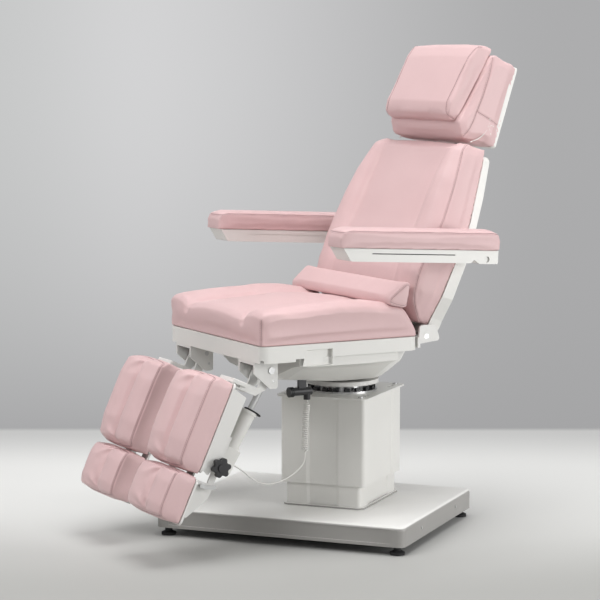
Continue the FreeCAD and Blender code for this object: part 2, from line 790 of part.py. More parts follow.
def leg_point(x, out, along):
    return Vector(x, leg_hinge_y - out * leg_cos - along * leg_sin, leg_hinge_z + out * leg_sin - along * leg_cos)


def leg_box(x_low, x_high, out_low, out_high, along_low, along_high, corner=0):
    """Block in the frame of the leg rest, rounded at its four corners seen from the pad."""
    corners = [(x_low, along_low, corner), (x_high, along_low, corner),
               (x_high, along_high, corner), (x_low, along_high, corner)]
    sweep = leg_point(0, out_high, 0) - leg_point(0, out_low, 0)
    return prism(corners, lambda a, b: leg_point(a, out_low, b), sweep)


def leg_plate(corners, x_low, x_high):
    """Plate square to X with corners (along, out, radius) in the frame of the leg rest."""
    return side_plate(corners, lambda x, a, b: leg_point(x, b, a), x_low, x_high)


def leg_bar(x_low, x_high, along, out, radius):
    """Round bar along X in the frame of the leg rest."""
    return rod(leg_point(x_low, out, along), leg_point(x_high, out, along), radius)


pad_left = leg_gap
pad_right = leg_gap + pad_width
pad_middle = leg_gap + pad_width / 2
tray_left = pad_left + fit_gap * 5
tray_right = pad_right - fit_gap * 5
calf_end = calf_start + calf_length
foot_start = calf_end + foot_pad_gap
foot_end = foot_start + foot_pad_length
tray_low_out = pad_lift - leg_tray_thickness
rail_low_out = tray_low_out - slide_gap - rail_thickness
rail_start = foot_start - rail_engagement
bar_right = tray_right - clamp_bar_inset
rail_middle = pad_middle - rail_shift
cheek_places = [bracket_offset + side * (arm_cheek_spread + arm_cheek) / 2 for side in (-1, 1)]
lever_along = foot_start + lever_width
lever_out = pad_lift - leg_tray_thickness - lever_width


def leg_frame():
    """Forked arm with its eyes, the calf tray with side flanges, rail guides and the ram's tail lugs."""
    plate = leg_box(tray_left, tray_right, tray_low_out, pad_lift, calf_start + fit_gap, calf_end, tray_corner_radius / 2)
    flange = [(calf_start + tray_corner_radius / 2, pad_lift, 0),
              (calf_end - tray_corner_radius / 2, pad_lift, 0),
              (calf_end - fit_gap, pad_lift - leg_flange_end_depth, leg_flange_wall),
              (knob_along + knob_radius, pad_lift - leg_flange_end_depth, leg_flange_wall),
              (knob_along + eye_radius, knob_out - eye_radius, leg_flange_wall),
              (knob_along - eye_radius, knob_out - eye_radius, leg_flange_wall),
              (knob_along - knob_radius * 2, pad_lift - leg_flange_depth + leg_flange_wall, leg_flange_wall),
              (calf_start + leg_flange_depth / 2, pad_lift - leg_flange_depth, leg_flange_wall)]
    inner_flange = [flange[0], flange[1], flange[2], flange[7]]
    flanges = [leg_plate(inner_flange, tray_left, tray_left + leg_flange_wall),
               leg_plate(flange, tray_right - leg_flange_wall, tray_right)]
    cheek = [(0, -eye_radius, 0), (elbow_start, -eye_radius, 0), (elbow_drop, eye_radius, 0),
             (elbow_drop, tray_low_out, 0), (calf_start + leg_flange_wall, tray_low_out, 0),
             (calf_start + leg_flange_wall, tray_low_out * 0.7, 0), (elbow_drop - elbow_width, tray_low_out * 0.7, 0),
             (elbow_drop - elbow_width, eye_radius, 0), (0, eye_radius, 0)]
    arms = []
    for x in cheek_places:
        arms.append(leg_plate(cheek, x - arm_cheek / 2, x + arm_cheek / 2))
        arms.append(leg_bar(x - arm_cheek / 2, x + arm_cheek / 2, 0, 0, eye_radius))
    web = leg_box(cheek_places[0], cheek_places[1], tray_low_out * 0.5, tray_low_out * 0.7,
                  elbow_drop - elbow_width, elbow_drop - elbow_width + arm_cheek / 2)
    lugs = []
    for side in (-1, 1):
        x = bracket_offset + side * (leg_gearbox_half + fit_gap + tail_lug_wall / 2)
        lug = [(leg_tail_pin_along - tail_lug_radius, tray_low_out, 0),
               (leg_tail_pin_along - tail_lug_radius, leg_tail_pin_out, 0),
               (leg_tail_pin_along + tail_lug_radius, leg_tail_pin_out, 0),
               (leg_tail_pin_along + tail_lug_radius, tray_low_out, 0)]
        lugs.append(leg_plate(lug, x - tail_lug_wall / 2, x + tail_lug_wall / 2))
        lugs.append(leg_bar(x - tail_lug_wall / 2, x + tail_lug_wall / 2, leg_tail_pin_along, leg_tail_pin_out,
                            tail_lug_radius))
    straps = []
    for along in (rail_start + foot_travel + rail_width / 2, calf_end - rail_width / 2):
        for side in (-1, 1):
            x = rail_middle + side * rail_spread / 2
            reach = rail_width / 2 + slide_gap
            strap = leg_box(x - reach - leg_flange_wall, x + reach + leg_flange_wall,
                            rail_low_out - slide_gap - leg_flange_wall, tray_low_out, along - arm_cheek, along + arm_cheek)
            straps.append(strap.cut(leg_box(x - reach, x + reach, rail_low_out - slide_gap, tray_low_out,
                                            along - overrun, along + overrun)))
    frame = fused([plate] + flanges + arms + [web] + lugs + straps)
    cuts = [leg_bar(0, pad_right, 0, 0, hinge_pin_radius + running_gap),
            leg_bar(bracket_offset - bracket_width / 2, bracket_offset + bracket_width / 2, leg_tail_pin_along,
                    leg_tail_pin_out, tail_pin_radius),
            leg_bar(bar_right, pad_right + overrun, knob_along, knob_out, knob_stem_radius + running_gap)]
    return frame.cut(cuts)


def pad_cushion(along_start, length, heel, lobe_crown):
    """Pad of two lobes with a sewn valley between them, rounded over at both ends."""
    base = pad_lift + fit_gap
    seam = pad_lift + pad_seam_rise
    sections = []
    for share, rise, inset, crown in ((0.0, 0.55, 1.0, 0.5), (0.06, 0.92, 0.2, 0.9), (0.25, 1.0, 0.0, 1.0),
                                      (0.75, 1.0, 0.0, 1.0), (0.94, 0.92, 0.2, 0.9), (1.0, 0.55, 1.0, 0.5)):
        along = along_start + share * length
        height = base + (seam - base) * rise
        sections.append(cushion_wire(lambda a, b, s=along: leg_point(pad_middle + a, b, s),
                                     pad_width / 2 - inset * pad_side_tuck, base, height, pad_side_tuck,
                                     (0,), pad_valley_drop + heel * (1 - rise), lobe_crown * crown, 0))
    return Part.makeLoft(sections, True, True)


def foot_frame():
    """Tray of the foot pad with two flat rails, and a side bar that the knob clamps."""
    plate = leg_box(tray_left, tray_right, tray_low_out - slide_gap, pad_lift, foot_start + fit_gap, foot_end,
                    tray_corner_radius / 2)
    rails = []
    for side in (-1, 1):
        x = rail_middle + side * rail_spread / 2
        rails.append(leg_box(x - rail_width / 2, x + rail_width / 2, rail_low_out, rail_low_out + rail_thickness,
                             rail_start, foot_end - tray_corner_radius))
    bar_low = knob_out - clamp_bar_height / 2
    bar_high = knob_out + clamp_bar_height / 2
    bar = [(foot_start, pad_lift, 0), (foot_end - tray_corner_radius, pad_lift, 0),
           (foot_end - tray_corner_radius, tray_low_out - clamp_bar_height / 2, 0),
           (foot_start + clamp_bar_height * 2, bar_low, 0), (rail_start + rail_width, bar_low, 0),
           (rail_start + rail_width, bar_high, 0), (foot_start, bar_high, 0)]
    flanges = [leg_plate(bar, bar_right - clamp_bar_wall, bar_right),
               leg_plate([bar[0], bar[1], bar[2], (foot_start, tray_low_out - clamp_bar_height / 2, 0)],
                         tray_left, tray_left + clamp_bar_wall)]
    frame = fused([plate] + rails + flanges)
    return frame.cut(leg_bar(bar_right - clamp_bar_wall - overrun, bar_right + overrun, lever_along, lever_out,
                             lever_stem_radius + running_gap))


def foot_knob():
    """Clamping knob with rounded lobes round its hub, on a threaded stem that reaches the side bar."""
    start = tray_right + fit_gap
    end = start + knob_thickness
    lobes = []
    for index in range(knob_lobe_count):
        turn = 2 * math.pi * index / knob_lobe_count
        along = knob_along + math.cos(turn) * (knob_radius - knob_lobe_radius * 0.4)
        out = knob_out + math.sin(turn) * (knob_radius - knob_lobe_radius * 0.4)
        lobes.append(leg_bar(start + knob_thickness / 4, end, along, out, knob_lobe_radius))
    body = leg_bar(start + knob_thickness / 4, end, knob_along, knob_out, knob_radius - knob_lobe_radius * 0.3)
    hub = leg_bar(start, end + knob_thickness / 6, knob_along, knob_out, knob_radius / 2)
    stem = leg_bar(bar_right + fit_gap, start, knob_along, knob_out, knob_stem_radius)
    return fused([body, hub, stem] + lobes)


def foot_lever():
    """Toggle lever on a stem through the side bar."""
    start = tray_right + fit_gap
    stem = leg_bar(bar_right - clamp_bar_wall, start, lever_along, lever_out, lever_stem_radius)
    half = lever_width / 2
    corners = [(lever_along + half, lever_out + half, half * 0.9), (lever_along + half, lever_out - lever_width, 0),
               (lever_along - half, lever_out - lever_length, half * 0.6),
               (lever_along - half - lever_width * 0.8, lever_out - lever_length, half * 0.6),
               (lever_along - half, lever_out - lever_width, 0), (lever_along - half, lever_out + half, half * 0.9)]
    return fused([stem, leg_plate(corners, start, start + lever_thickness)])


# Leg drive: the tail pin on the leg rest, the eye at the open anchor pin on the bracket
drive_tail = leg_point(bracket_offset, leg_tail_pin_out, leg_tail_pin_along)
drive_eye = Vector(bracket_offset, anchor_y, anchor_z)
drive_axis = (drive_eye - drive_tail).normalize()


def leg_drive_tube():
    """Gearbox on its tail pin, the outer tube with two ring joints, and the motor beside it."""
    tail_cover = tail_lug_radius - tail_pin_radius / 2
    gear_start = drive_tail - drive_axis * tail_cover
    side = drive_axis.cross(X_AXIS)
    half = leg_gearbox_half
    frame = lambda a, b: gear_start + X_AXIS * a + side * b
    corners = [(-half, -half, half / 3), (half, -half, half / 3), (half, half, half / 3), (-half, half, half / 3)]
    gearbox = prism(corners, frame, drive_axis * leg_gearbox_length)
    tube_start = gear_start + drive_axis * leg_gearbox_length
    tube_end = tube_start + drive_axis * leg_drive_tube_length
    tube = rod(tube_start, tube_end, leg_drive_radius * 0.88)
    ring_height = drive_axis * leg_gearbox_length / 8
    rings = [rod(tube_start, tube_start + ring_height, leg_drive_radius),
             rod(tube_end - ring_height, tube_end, leg_drive_radius)]
    shift = X_AXIS * -(leg_gearbox_half + leg_motor_radius * 0.85)
    motor_start = drive_tail + shift + drive_axis * (tail_lug_radius + fit_gap * 10)
    motor = rod(motor_start, motor_start + drive_axis * leg_motor_length, leg_motor_radius)
    bore = rod(drive_tail + drive_axis * leg_gearbox_length / 2, tube_end + drive_axis * overrun,
               leg_rod_radius + running_gap)
    pin = rod(drive_tail - X_AXIS * (half + tail_lug_wall + fit_gap), drive_tail + X_AXIS * (half + tail_lug_wall + fit_gap),
              tail_pin_radius - running_gap)
    return fused([gearbox, tube, motor, pin] + rings).cut(bore)


def leg_drive_rod():
    """Bright rod whose eye hangs on the anchor pin with play, because the linkage is opened there."""
    start = drive_tail + drive_axis * (leg_gearbox_length / 2 + leg_gearbox_half)
    bar = rod(start, drive_eye - drive_axis * leg_rod_eye / 2, leg_rod_radius)
    half = X_AXIS * leg_rod_eye_width / 2
    eye = rod(drive_eye - half, drive_eye + half, leg_rod_eye)
    hole = rod(drive_eye - half * 2, drive_eye + half * 2, anchor_pin_radius + anchor_play)
    return fused([bar, eye]).cut(hole)


# Backrest, in a frame of its own: x across, 'out' towards the sitter, 'up' along the back from the hinge
back_sin = math.sin(math.radians(back_tilt_angle))
back_cos = math.cos(math.radians(back_tilt_angle))


def back_point(x, out, up):
    return Vector(x, back_hinge_reach + up * back_sin - out * back_cos, back_hinge_z + up * back_cos + out * back_sin)


def back_box(x_low, x_high, out_low, out_high, up_low, up_high):
    corners = [(x_low, up_low, 0), (x_high, up_low, 0), (x_high, up_high, 0), (x_low, up_high, 0)]
    sweep = back_point(0, out_high, 0) - back_point(0, out_low, 0)
    return prism(corners, lambda a, b: back_point(a, out_low, b), sweep)


def back_plate(corners, x_low, x_high):
    """Plate square to X with corners (up, out, radius) in the frame of the backrest."""
    return side_plate(corners, lambda x, a, b: back_point(x, b, a), x_low, x_high)


# Rear line of the shell: share of the back's length, share of the set-back. Width of the back: share of
# the length, share of the half width
rear_shares = [(-0.013, 0.36), (0.058, 0.56), (0.41, 0.84), (0.60, 0.89), (0.78, 0.99), (1.0, 1.0)]
width_shares = [(0.0, 0.945), (0.10, 0.955), (0.22, 1.0), (0.56, 1.0), (1.0, 0.84)]
shell_front = [(back_length * 0.05, -back_set_back * 0.04),
               (back_length * 0.64, -back_set_back * 0.82 + back_shell_top_depth),
               (back_length, -back_set_back + back_shell_top_depth * 1.25)]


def back_width_at(up):
    share = min(max(up / back_length, 0.0), width_shares[-1][0])
    for (low, wide), (high, narrow) in zip(width_shares, width_shares[1:]):
        if share <= high:
            return back_half_width * (wide + (narrow - wide) * (share - low) / (high - low))


def back_width_cutter(inset):
    """Tapered slab with rounded top corners that trims the shell to the width of the back."""
    low = -back_length * 0.2
    right = [(back_width_at(0) - inset, low, 0)]
    for share, width in width_shares:
        right.append((back_half_width * width - inset, back_length * share, 0))
    right[-1] = (right[-1][0], back_length - inset, tray_corner_radius)
    corners = right + [(-a, b, radius) for a, b, radius in reversed(right)]
    sweep = back_point(0, back_foam, 0) - back_point(0, -2 * back_set_back, 0)
    return prism(corners, lambda a, b: back_point(a, -2 * back_set_back, b), sweep)


def back_shell():
    """Dished rear panel with a rim all round, open towards the cushion."""
    rear = [(back_length * up, -back_set_back * out, 0) for up, out in rear_shares]
    front = [(up, out, 0) for up, out in reversed(shell_front)]
    outer = back_plate(rear + front, -seat_half, seat_half).common(back_width_cutter(0))
    inner_rear = [(up, out + back_shell_wall, 0) for up, out, radius in rear]
    inner_front = [(up, out + overrun, 0) for up, out in reversed(shell_front)]
    inner = back_plate(inner_rear + inner_front, -seat_half, seat_half).common(back_width_cutter(back_shell_wall))
    shaft = rod(back_point(-seat_half, -arm_pivot_depth, arm_pivot_along),
                back_point(seat_half, -arm_pivot_depth, arm_pivot_along), arm_pivot_radius + fit_gap)
    rods = [rod(back_point(x, -head_rod_depth, back_length / 2), back_point(x, -head_rod_depth, back_length + overrun),
                head_rod_radius + fit_gap) for x in (-head_rod_spacing / 2, head_rod_spacing / 2)]
    return outer.cut([inner, shaft] + rods)


# Back cushion: share of the length, of the swell of the lumbar at the seam, of the inset and of the crown
back_shares = [(0.052, -0.05, 0.4, 0.3), (0.08, 0.22, 0.1, 0.4), (0.142, 0.72, 0.0, 0.5), (0.21, 0.96, 0.0, 0.5),
               (0.30, 1.0, 0.0, 0.6), (0.43, 0.80, 0.0, 0.9), (0.576, 0.48, 0.0, 1.2), (0.70, 0.31, 0.0, 1.3),
               (0.824, 0.16, 0.0, 1.2), (0.97, 0.02, 0.1, 0.7), (1.0, -0.02, 0.3, 0.6), (1.04, -0.35, 1.2, 0.4)]


def shell_front_out(up):
    """Depth of the shell's front rim at a height, which the cushion lies against."""
    (low_up, low_out), (mid_up, mid_out), (top_up, top_out) = shell_front
    if up < mid_up:
        return low_out + (mid_out - low_out) * (up - low_up) / (mid_up - low_up)
    return mid_out + (top_out - mid_out) * (up - mid_up) / (top_up - mid_up)


back_seam_plane = -back_set_back + back_shell_top_depth + back_foam - back_lobe_crown


def back_cushion():
    sections = []
    for share, swell, inset, crown in back_shares:
        up = share * back_length
        base = shell_front_out(up) + fit_gap
        seam = back_seam_plane + lumbar_rise * swell
        sections.append(cushion_wire(lambda a, b, u=up: back_point(a, b, u), back_width_at(up) - inset * back_side_tuck,
                                     base, seam, back_side_tuck, (back_valley_offset, -back_valley_offset),
                                     -back_valley_rise * crown, back_lobe_crown * crown, back_middle_crown * crown))
    return Part.makeLoft(sections, True, True)


def lumbar_cushion():
    """Wedge that lies in the corner of the seat and the back, its underside rising to the front."""
    low = z_foam_top - lumbar_sink
    top = low + lumbar_height
    front_out = back_seam_plane + lumbar_rise + back_lobe_crown / 2
    up = (top - back_hinge_z - front_out * back_sin) / back_cos
    rear = back_point(0, front_out, up).y - lumbar_gap
    corner = lumbar_height / 8
    corners = [(rear - lumbar_depth, low + lumbar_front_rise, corner), (rear - lumbar_heel, low, corner),
               (rear, top, corner)]
    return side_plate(corners, lambda x, a, b: Vector(x, a, b), -lumbar_half_width, lumbar_half_width)


def back_frame():
    """Hinge tube, two uprights inside the shell, cross bars, the guide of the head rods and the arm shafts."""
    tube = rod(back_point(-frame_rail_offset - frame_rail_width, 0, 0),
               back_point(frame_rail_offset + frame_rail_width, 0, 0), back_tube_radius)
    uprights = []
    gap = back_shell_wall + fit_gap * 3
    line = [(back_length * up, -back_set_back * out + gap) for up, out in rear_shares[1:-1]]
    line.append((back_length * 0.975, -back_set_back + gap))
    front = [(up, out + back_upright_thickness, 0) for up, out in reversed(line)]
    rear = [(up, out, 0) for up, out in line]
    corners = [(-back_tube_radius / 2, -back_tube_radius / 2, 0)] + rear + front + [(back_tube_radius / 2, 0, 0)]
    for side in (-1, 1):
        x = side * back_upright_offset
        uprights.append(back_plate(corners, x - back_upright_width / 2, x + back_upright_width / 2))
    rod_out = -head_rod_depth
    guide_top = back_length * 0.975
    guide = back_box(-back_upright_offset, back_upright_offset, rod_out - head_rod_radius + fit_gap * 3,
                     -back_set_back + gap + back_upright_thickness, guide_top - head_rod_grip, guide_top)
    bar_half = back_width_at(arm_pivot_along + arm_pivot_radius) - back_shell_wall - fit_gap
    shaft_bar = back_box(-bar_half, bar_half,
                         -arm_pivot_depth - arm_pivot_radius, -arm_pivot_depth + arm_pivot_radius,
                         arm_pivot_along - arm_pivot_radius, arm_pivot_along + arm_pivot_radius)
    reach = arm_offset + arm_width / 2 - arm_shell_inset * 2
    shaft = rod(back_point(-reach, -arm_pivot_depth, arm_pivot_along),
                back_point(reach, -arm_pivot_depth, arm_pivot_along), arm_pivot_radius)
    lever = back_lever()
    frame = fused([tube] + uprights + [guide, shaft_bar, shaft, lever])
    rods = [rod(back_point(x, rod_out, 0), back_point(x, rod_out, back_length + overrun), head_rod_radius + running_gap)
            for x in (-head_rod_spacing / 2, head_rod_spacing / 2)]
    bore = rod(back_point(-seat_half, 0, 0), back_point(seat_half, 0, 0), hinge_pin_radius + running_gap)
    return frame.cut(rods + [bore])


back_lever_end = Vector(back_drive_offset, back_hinge_reach + back_lever_length * 0.53, back_hinge_z - back_lever_length * 0.85)
back_tail = Vector(back_drive_offset, back_tail_setback - pan_front_reach, back_lever_end.z - back_tail_drop)
back_drive_axis = (back_lever_end - back_tail).normalize()


def back_lever():
    """Pair of lever plates below the hinge tube, which carry the pin of the back ram."""
    plates = []
    hinge = Vector(back_drive_offset, back_hinge_reach, back_hinge_z)
    arm = (back_lever_end - hinge).normalize()
    across = arm.cross(X_AXIS)
    half = back_lever_width / 2
    corners = [(0, -half, 0), (0, half, 0), (back_lever_length + half, half, half * 0.9),
               (back_lever_length + half, -half, half * 0.9)]
    for x in (-back_lever_width * 1.5, back_lever_width):
        plates.append(prism(corners, lambda a, b: hinge + arm * a + across * b + X_AXIS * x,
                            X_AXIS * back_lever_width / 2))
    pin = rod(back_lever_end - X_AXIS * back_lever_width, back_lever_end + X_AXIS * back_lever_width, anchor_pin_radius)
    return fused(plates + [pin])


def back_drive_tube():
    """Ram of the back inside the hull, hung on a tail pin below the front cross member."""
    end = back_tail + back_drive_axis * back_ram_length
    tube = rod(back_tail - back_drive_axis * tail_lug_radius, end, back_ram_radius)
    bore = rod(back_tail + back_drive_axis * back_ram_radius, end + back_drive_axis * overrun,
               back_rod_radius + running_gap)
    motor_start = back_tail + X_AXIS * back_ram_radius * 1.9 + back_drive_axis * (tail_lug_radius + tail_lug_wall)
    motor = rod(motor_start, motor_start + back_drive_axis * back_ram_length / 2, back_ram_radius)
    half = X_AXIS * (back_ram_radius + fit_gap + tail_lug_wall)
    pin = rod(back_tail - half, back_tail + half, tail_pin_radius - running_gap)
    return fused([tube, motor, pin]).cut(bore)


def back_drive_rod():
    start = back_tail + back_drive_axis * back_ram_length * 0.62
    bar = rod(start, back_lever_end - back_drive_axis * leg_rod_eye, back_rod_radius)
    half = X_AXIS * back_lever_width * 0.8
    eye = rod(back_lever_end - half, back_lever_end + half, leg_rod_eye)
    hole = rod(back_lever_end - half * 2, back_lever_end + half * 2, anchor_pin_radius + back_eye_play)
    return fused([bar, eye]).cut(hole)


def back_hinge_plate():
    """Plate on the left end of the seat frame that holds the hinge pin of the back."""
    x = seat_half - hinge_plate_wall * 1.5
    y_low = seat_rear_reach + fit_gap
    low = z_tray_top - hinge_plate_height * 0.42
    corners = [(y_low, low, 0), (y_low + hinge_plate_length, low + hinge_plate_wall, hinge_plate_wall),
               (y_low + hinge_plate_length * 0.8, low + hinge_plate_height, hinge_plate_wall * 2),
               (y_low + hinge_plate_wall, low + hinge_plate_height, hinge_plate_wall)]
    plate = side_plate(corners, lambda x, a, b: Vector(x, a, b), x, x + hinge_plate_wall)
    arm_low = z_tray_top - tray_wall - frame_rail_height
    foot = block(frame_rail_offset, x + hinge_plate_wall, y_low, y_low + hinge_plate_wall, arm_low, z_tray_top - tray_wall)
    bracket = fused([plate, foot])
    return bracket.cut(rod(Vector(0, back_hinge_reach, back_hinge_z), Vector(seat_half, back_hinge_reach, back_hinge_z),
                           hinge_pin_radius))


def back_pin():
    start = Vector(frame_rail_offset, back_hinge_reach, back_hinge_z)
    end = Vector(seat_half - hinge_plate_wall / 2, back_hinge_reach, back_hinge_z)
    return rod(start, end, hinge_pin_radius)


# Headrest on two rods
head_low = back_length + head_gap
head_top = head_low + head_length
head_rear_out = -head_setback - head_depth


def head_block():
    """Foam block of the headrest, with a lip in front at its lower end and thinner at its top."""
    rear = head_rear_out + fit_gap
    rim_out = head_rear_out + head_rim + fit_gap
    low = head_low + head_rim + fit_gap
    top = head_top - head_rim * 2 - fit_gap
    corners = [(low, rear, 0), (low, rim_out, 0), (head_low, head_lip / 4, head_rim * 1.5),
               (head_low + head_lip_rise, head_lip, head_rim * 1.5), (head_top, -head_setback, head_rim),
               (top + head_rim / 2, rim_out, 0), (top, rim_out, 0), (top, rear, 0)]
    width = head_half_width - head_shell_wall - fit_gap
    block_shape = back_plate(corners, -width, width)
    rods = [rod(back_point(x, -head_rod_depth, head_low - overrun),
                back_point(x, -head_rod_depth, head_low + head_rod_grip * 2), head_rod_radius)
            for x in (-head_rod_spacing / 2, head_rod_spacing / 2)]
    return block_shape.cut(rods)


def head_shell():
    """Thin rear shell with a rim that holds the block."""
    low = head_low + head_rim
    top = head_top - head_rim * 2
    outer = back_box(-head_half_width, head_half_width, head_rear_out - head_shell_wall, head_rear_out + head_rim,
                     low - head_shell_wall, top + head_shell_wall)
    sides = [edge for edge in outer.Edges
             if abs(abs((edge.Vertexes[0].Point - edge.Vertexes[1].Point).normalize() * back_normal()) - 1) < 1e-6]
    outer = outer.makeFillet(head_rim, sides)
    inner = back_box(head_shell_wall - head_half_width, head_half_width - head_shell_wall,
                     head_rear_out, head_rear_out + overrun * 2, low, top)
    return outer.cut(inner)


def back_normal():
    return Vector(0, -back_cos, back_sin)


def head_pillow():
    """Pillow on the slanted front of the block, above its lip."""
    low = head_low + head_lip_rise
    slope = (head_lip + head_setback) / (head_length - head_lip_rise)
    sections = []
    for share, fill, inset in ((0.0, 0.35, 2.0), (0.05, 0.8, 0.6), (0.2, 1.0, 0.0), (0.8, 1.0, 0.0), (0.96, 0.85, 0.4),
                               (1.0, 0.45, 1.6)):
        up = low + share * pillow_length
        base = head_lip + fit_gap * 2 - slope * (up - low)
        thick = (pillow_thick + (pillow_top_thick - pillow_thick) * share) * fill
        crown = back_lobe_crown / 4
        sections.append(cushion_wire(lambda a, b, u=up: back_point(a, b, u), pillow_half_width - inset * back_side_tuck,
                                     base, base + thick - crown, back_side_tuck / 2, (), 0, crown, crown))
    return Part.makeLoft(sections, True, True)


def head_rods():
    end = head_low + head_rod_grip * 2
    rods = [rod(back_point(x, -head_rod_depth, end - head_travel - head_rod_engagement - head_rod_grip),
                back_point(x, -head_rod_depth, end), head_rod_radius)
            for x in (-head_rod_spacing / 2, head_rod_spacing / 2)]
    return Part.makeCompound(rods)


def pillow_elastic():
    """Elastic loop on each side of the block that holds the pillow."""
    x = head_half_width - head_shell_wall - fit_gap + elastic_radius
    first = back_point(x, -head_depth * 0.35, head_low + head_rim * 1.2)
    bend = back_point(x, -head_depth * 0.64, head_low + head_rim * 2.8)
    last = back_point(x, -head_depth * 0.78, head_low + head_rim * 6.5)
    path = Part.Wire([Part.Arc(first, bend, last).toShape()])
    start_direction = path.Edges[0].tangentAt(path.Edges[0].FirstParameter)
    ring = Part.Wire([Part.Circle(first, start_direction, elastic_radius).toShape()])
    loop = path.makePipeShell([ring], True, False)
    return Part.makeCompound([loop, mirrored(loop)])


# Armrests, in a frame of their own: x across, 'ahead' to the front and 'up' from a place behind the pivot
arm_pivot = back_point(0, -arm_pivot_depth, arm_pivot_along)
arm_sin = math.sin(math.radians(arm_rise_angle))
arm_cos = math.cos(math.radians(arm_rise_angle))


def arm_point(x, ahead, up):
    reach = ahead - arm_set_back
    return Vector(x, arm_pivot.y - reach * arm_cos + up * arm_sin, arm_pivot.z + reach * arm_sin + up * arm_cos)


def arm_plate(corners, x_low, x_high):
    return side_plate(corners, lambda x, a, b: arm_point(x, a, b), x_low, x_high)


def arm_shell():
    """Moulded under-shell of the left arm: long body, front slant, a notch and the pivot block at the rear."""
    front = arm_length - arm_pad_rear - arm_shell_inset * 2
    low = arm_pad_lift - arm_shell_depth
    corners = [(front, arm_pad_lift, 0), (front - arm_shell_depth * 0.7, low, arm_shell_inset * 2),
               (arm_block_length * 1.35, low, 0), (arm_block_length * 1.15, low + arm_block_drop * 0.75, 0),
               (arm_block_length * 0.85, -arm_block_drop, arm_shell_inset / 2),
               (-arm_block_drop * 0.8, -arm_block_drop, arm_shell_inset),
               (-arm_block_drop * 0.8, arm_pad_lift, 0)]
    half = arm_width / 2 - arm_shell_inset
    shell = arm_plate(corners, arm_offset - half, arm_offset + half)
    cave = [(front - arm_shell_depth, arm_pad_lift - arm_shell_inset, 0),
            (front - arm_shell_depth * 1.4, low - overrun, 0), (arm_block_length * 1.6, low - overrun, 0),
            (arm_block_length * 1.6, arm_pad_lift - arm_shell_inset, 0)]
    wall = arm_shell_inset
    shell = shell.cut(arm_plate(cave, arm_offset - half + wall, arm_offset + half - wall))
    groove_up = arm_pad_lift - arm_shell_depth * 0.42
    groove = [(front - arm_shell_depth * 2.5, groove_up, 0), (arm_block_length * 2.2, groove_up, 0),
              (arm_block_length * 2.2, groove_up + arm_groove, 0), (front - arm_shell_depth * 2.5, groove_up + arm_groove, 0)]
    grooves = [arm_plate(groove, arm_offset + half - arm_groove / 2, arm_offset + half + overrun),
               arm_plate(groove, arm_offset - half - overrun, arm_offset - half + arm_groove / 2)]
    pivot = rod(arm_point(0, arm_set_back, 0), arm_point(arm_offset * 2, arm_set_back, 0),
                arm_pivot_radius + running_gap)
    return shell.cut(grooves + [pivot])


def arm_pad():
    """Padded top of the left arm, rounded over at both ends."""
    base = arm_pad_lift + fit_gap
    sections = []
    for share, fill, inset in ((0.0, 0.5, 2.0), (0.015, 0.85, 0.6), (0.06, 1.0, 0.0), (0.94, 0.96, 0.0),
                               (0.985, 0.82, 0.6), (1.0, 0.5, 2.0)):
        ahead = share * arm_length - arm_pad_rear
        sections.append(cushion_wire(lambda a, b, s=ahead: arm_point(arm_offset + a, s, b),
                                     arm_width / 2 - inset * arm_crown / 2, base,
                                     base + (arm_pad_thickness - arm_crown) * fill, arm_crown / 2, (), 0,
                                     arm_crown, arm_crown))
    return Part.makeLoft(sections, True, True)


# Control box inside the hull, and the plug under it that feeds the leg drives


def control_box():
    top = z_tray_top - tray_wall - frame_rail_height - fit_gap
    return block(-control_offset - control_length / 2, control_length / 2 - control_offset,
                 -control_width / 2 - pan_front_reach / 2,
                 control_width / 2 - pan_front_reach / 2, top - control_height, top, pan_wall)


def hull_low_at(y):
    """Height of the hull's underside beside the keel, where the plug hangs."""
    length = pan_front_reach + pan_rear_reach
    share = (y + pan_front_reach) / length
    for (a, w, s, side_low, k), (a_next, w_next, s_next, side_high, k_next) in zip(hull_shares, hull_shares[1:]):
        if a <= share <= a_next:
            return z_tray_low - pan_depth * (side_low + (side_high - side_low) * (share - a) / (a_next - a))
    return z_tray_low


plug_z = hull_low_at(-plug_reach - plug_length) - plug_drop
plug_end = Vector(plug_offset, -plug_reach, plug_z)
nose_place = plug_end + Vector(0, -plug_nose, 0)
nose_end = nose_place + Vector(0, 0, -plug_radius - plug_nose)


def cable_connector():
    """Black plug under the hull with a nose that turns down, held by a foot on the hull."""
    body = rod(plug_end, plug_end + Vector(0, -plug_length, 0), plug_radius)
    nose = rod(nose_place, nose_end, plug_radius * 0.85)
    y = -plug_reach - plug_length / 2
    half = plug_radius / 2
    foot = block(plug_offset - half, plug_offset + half, y - plug_radius, y + plug_radius, plug_z,
                 plug_z + plug_drop + plug_radius)
    return fused([body, nose, foot.cut(pan_loft(0))])


def connector_ring():
    """Ribbed nut at the front end of the plug."""
    start = plug_end + Vector(0, -plug_length, 0)
    rib = ring_length / 5
    ribs = []
    for index in range(5):
        radius = ring_radius if index % 2 == 0 else ring_radius * 0.88
        ribs.append(rod(start + Vector(0, -rib * index, 0), start + Vector(0, -rib * (index + 1), 0), radius))
    return fused(ribs)


# Lead from the plug to the left gearbox: a curly stretch that hangs down, then a plain one
gearbox_out = drive_axis.cross(X_AXIS)
gearbox_face = drive_tail + drive_axis * (leg_gearbox_length * 0.3) + gearbox_out * leg_gearbox_half
coil_points = [(145.0, -200.0, 404.0), (146.8, -206.5, 358.0), (148.8, -208.8, 310.0), (150.0, -210.0, 262.0)]
lead_points = [(150.0, -210.0, 262.0), (150.4, -210.4, 246.0), (151.4, -219.0, 230.0), (153.6, -237.0, 215.0),
               (158.0, -265.0, 200.5), (166.0, -302.0, 190.5), (178.0, -342.0, 188.0), (189.0, -380.0, 197.0),
               (198.0, -412.0, 216.0), (204.5, -440.0, 239.0)]


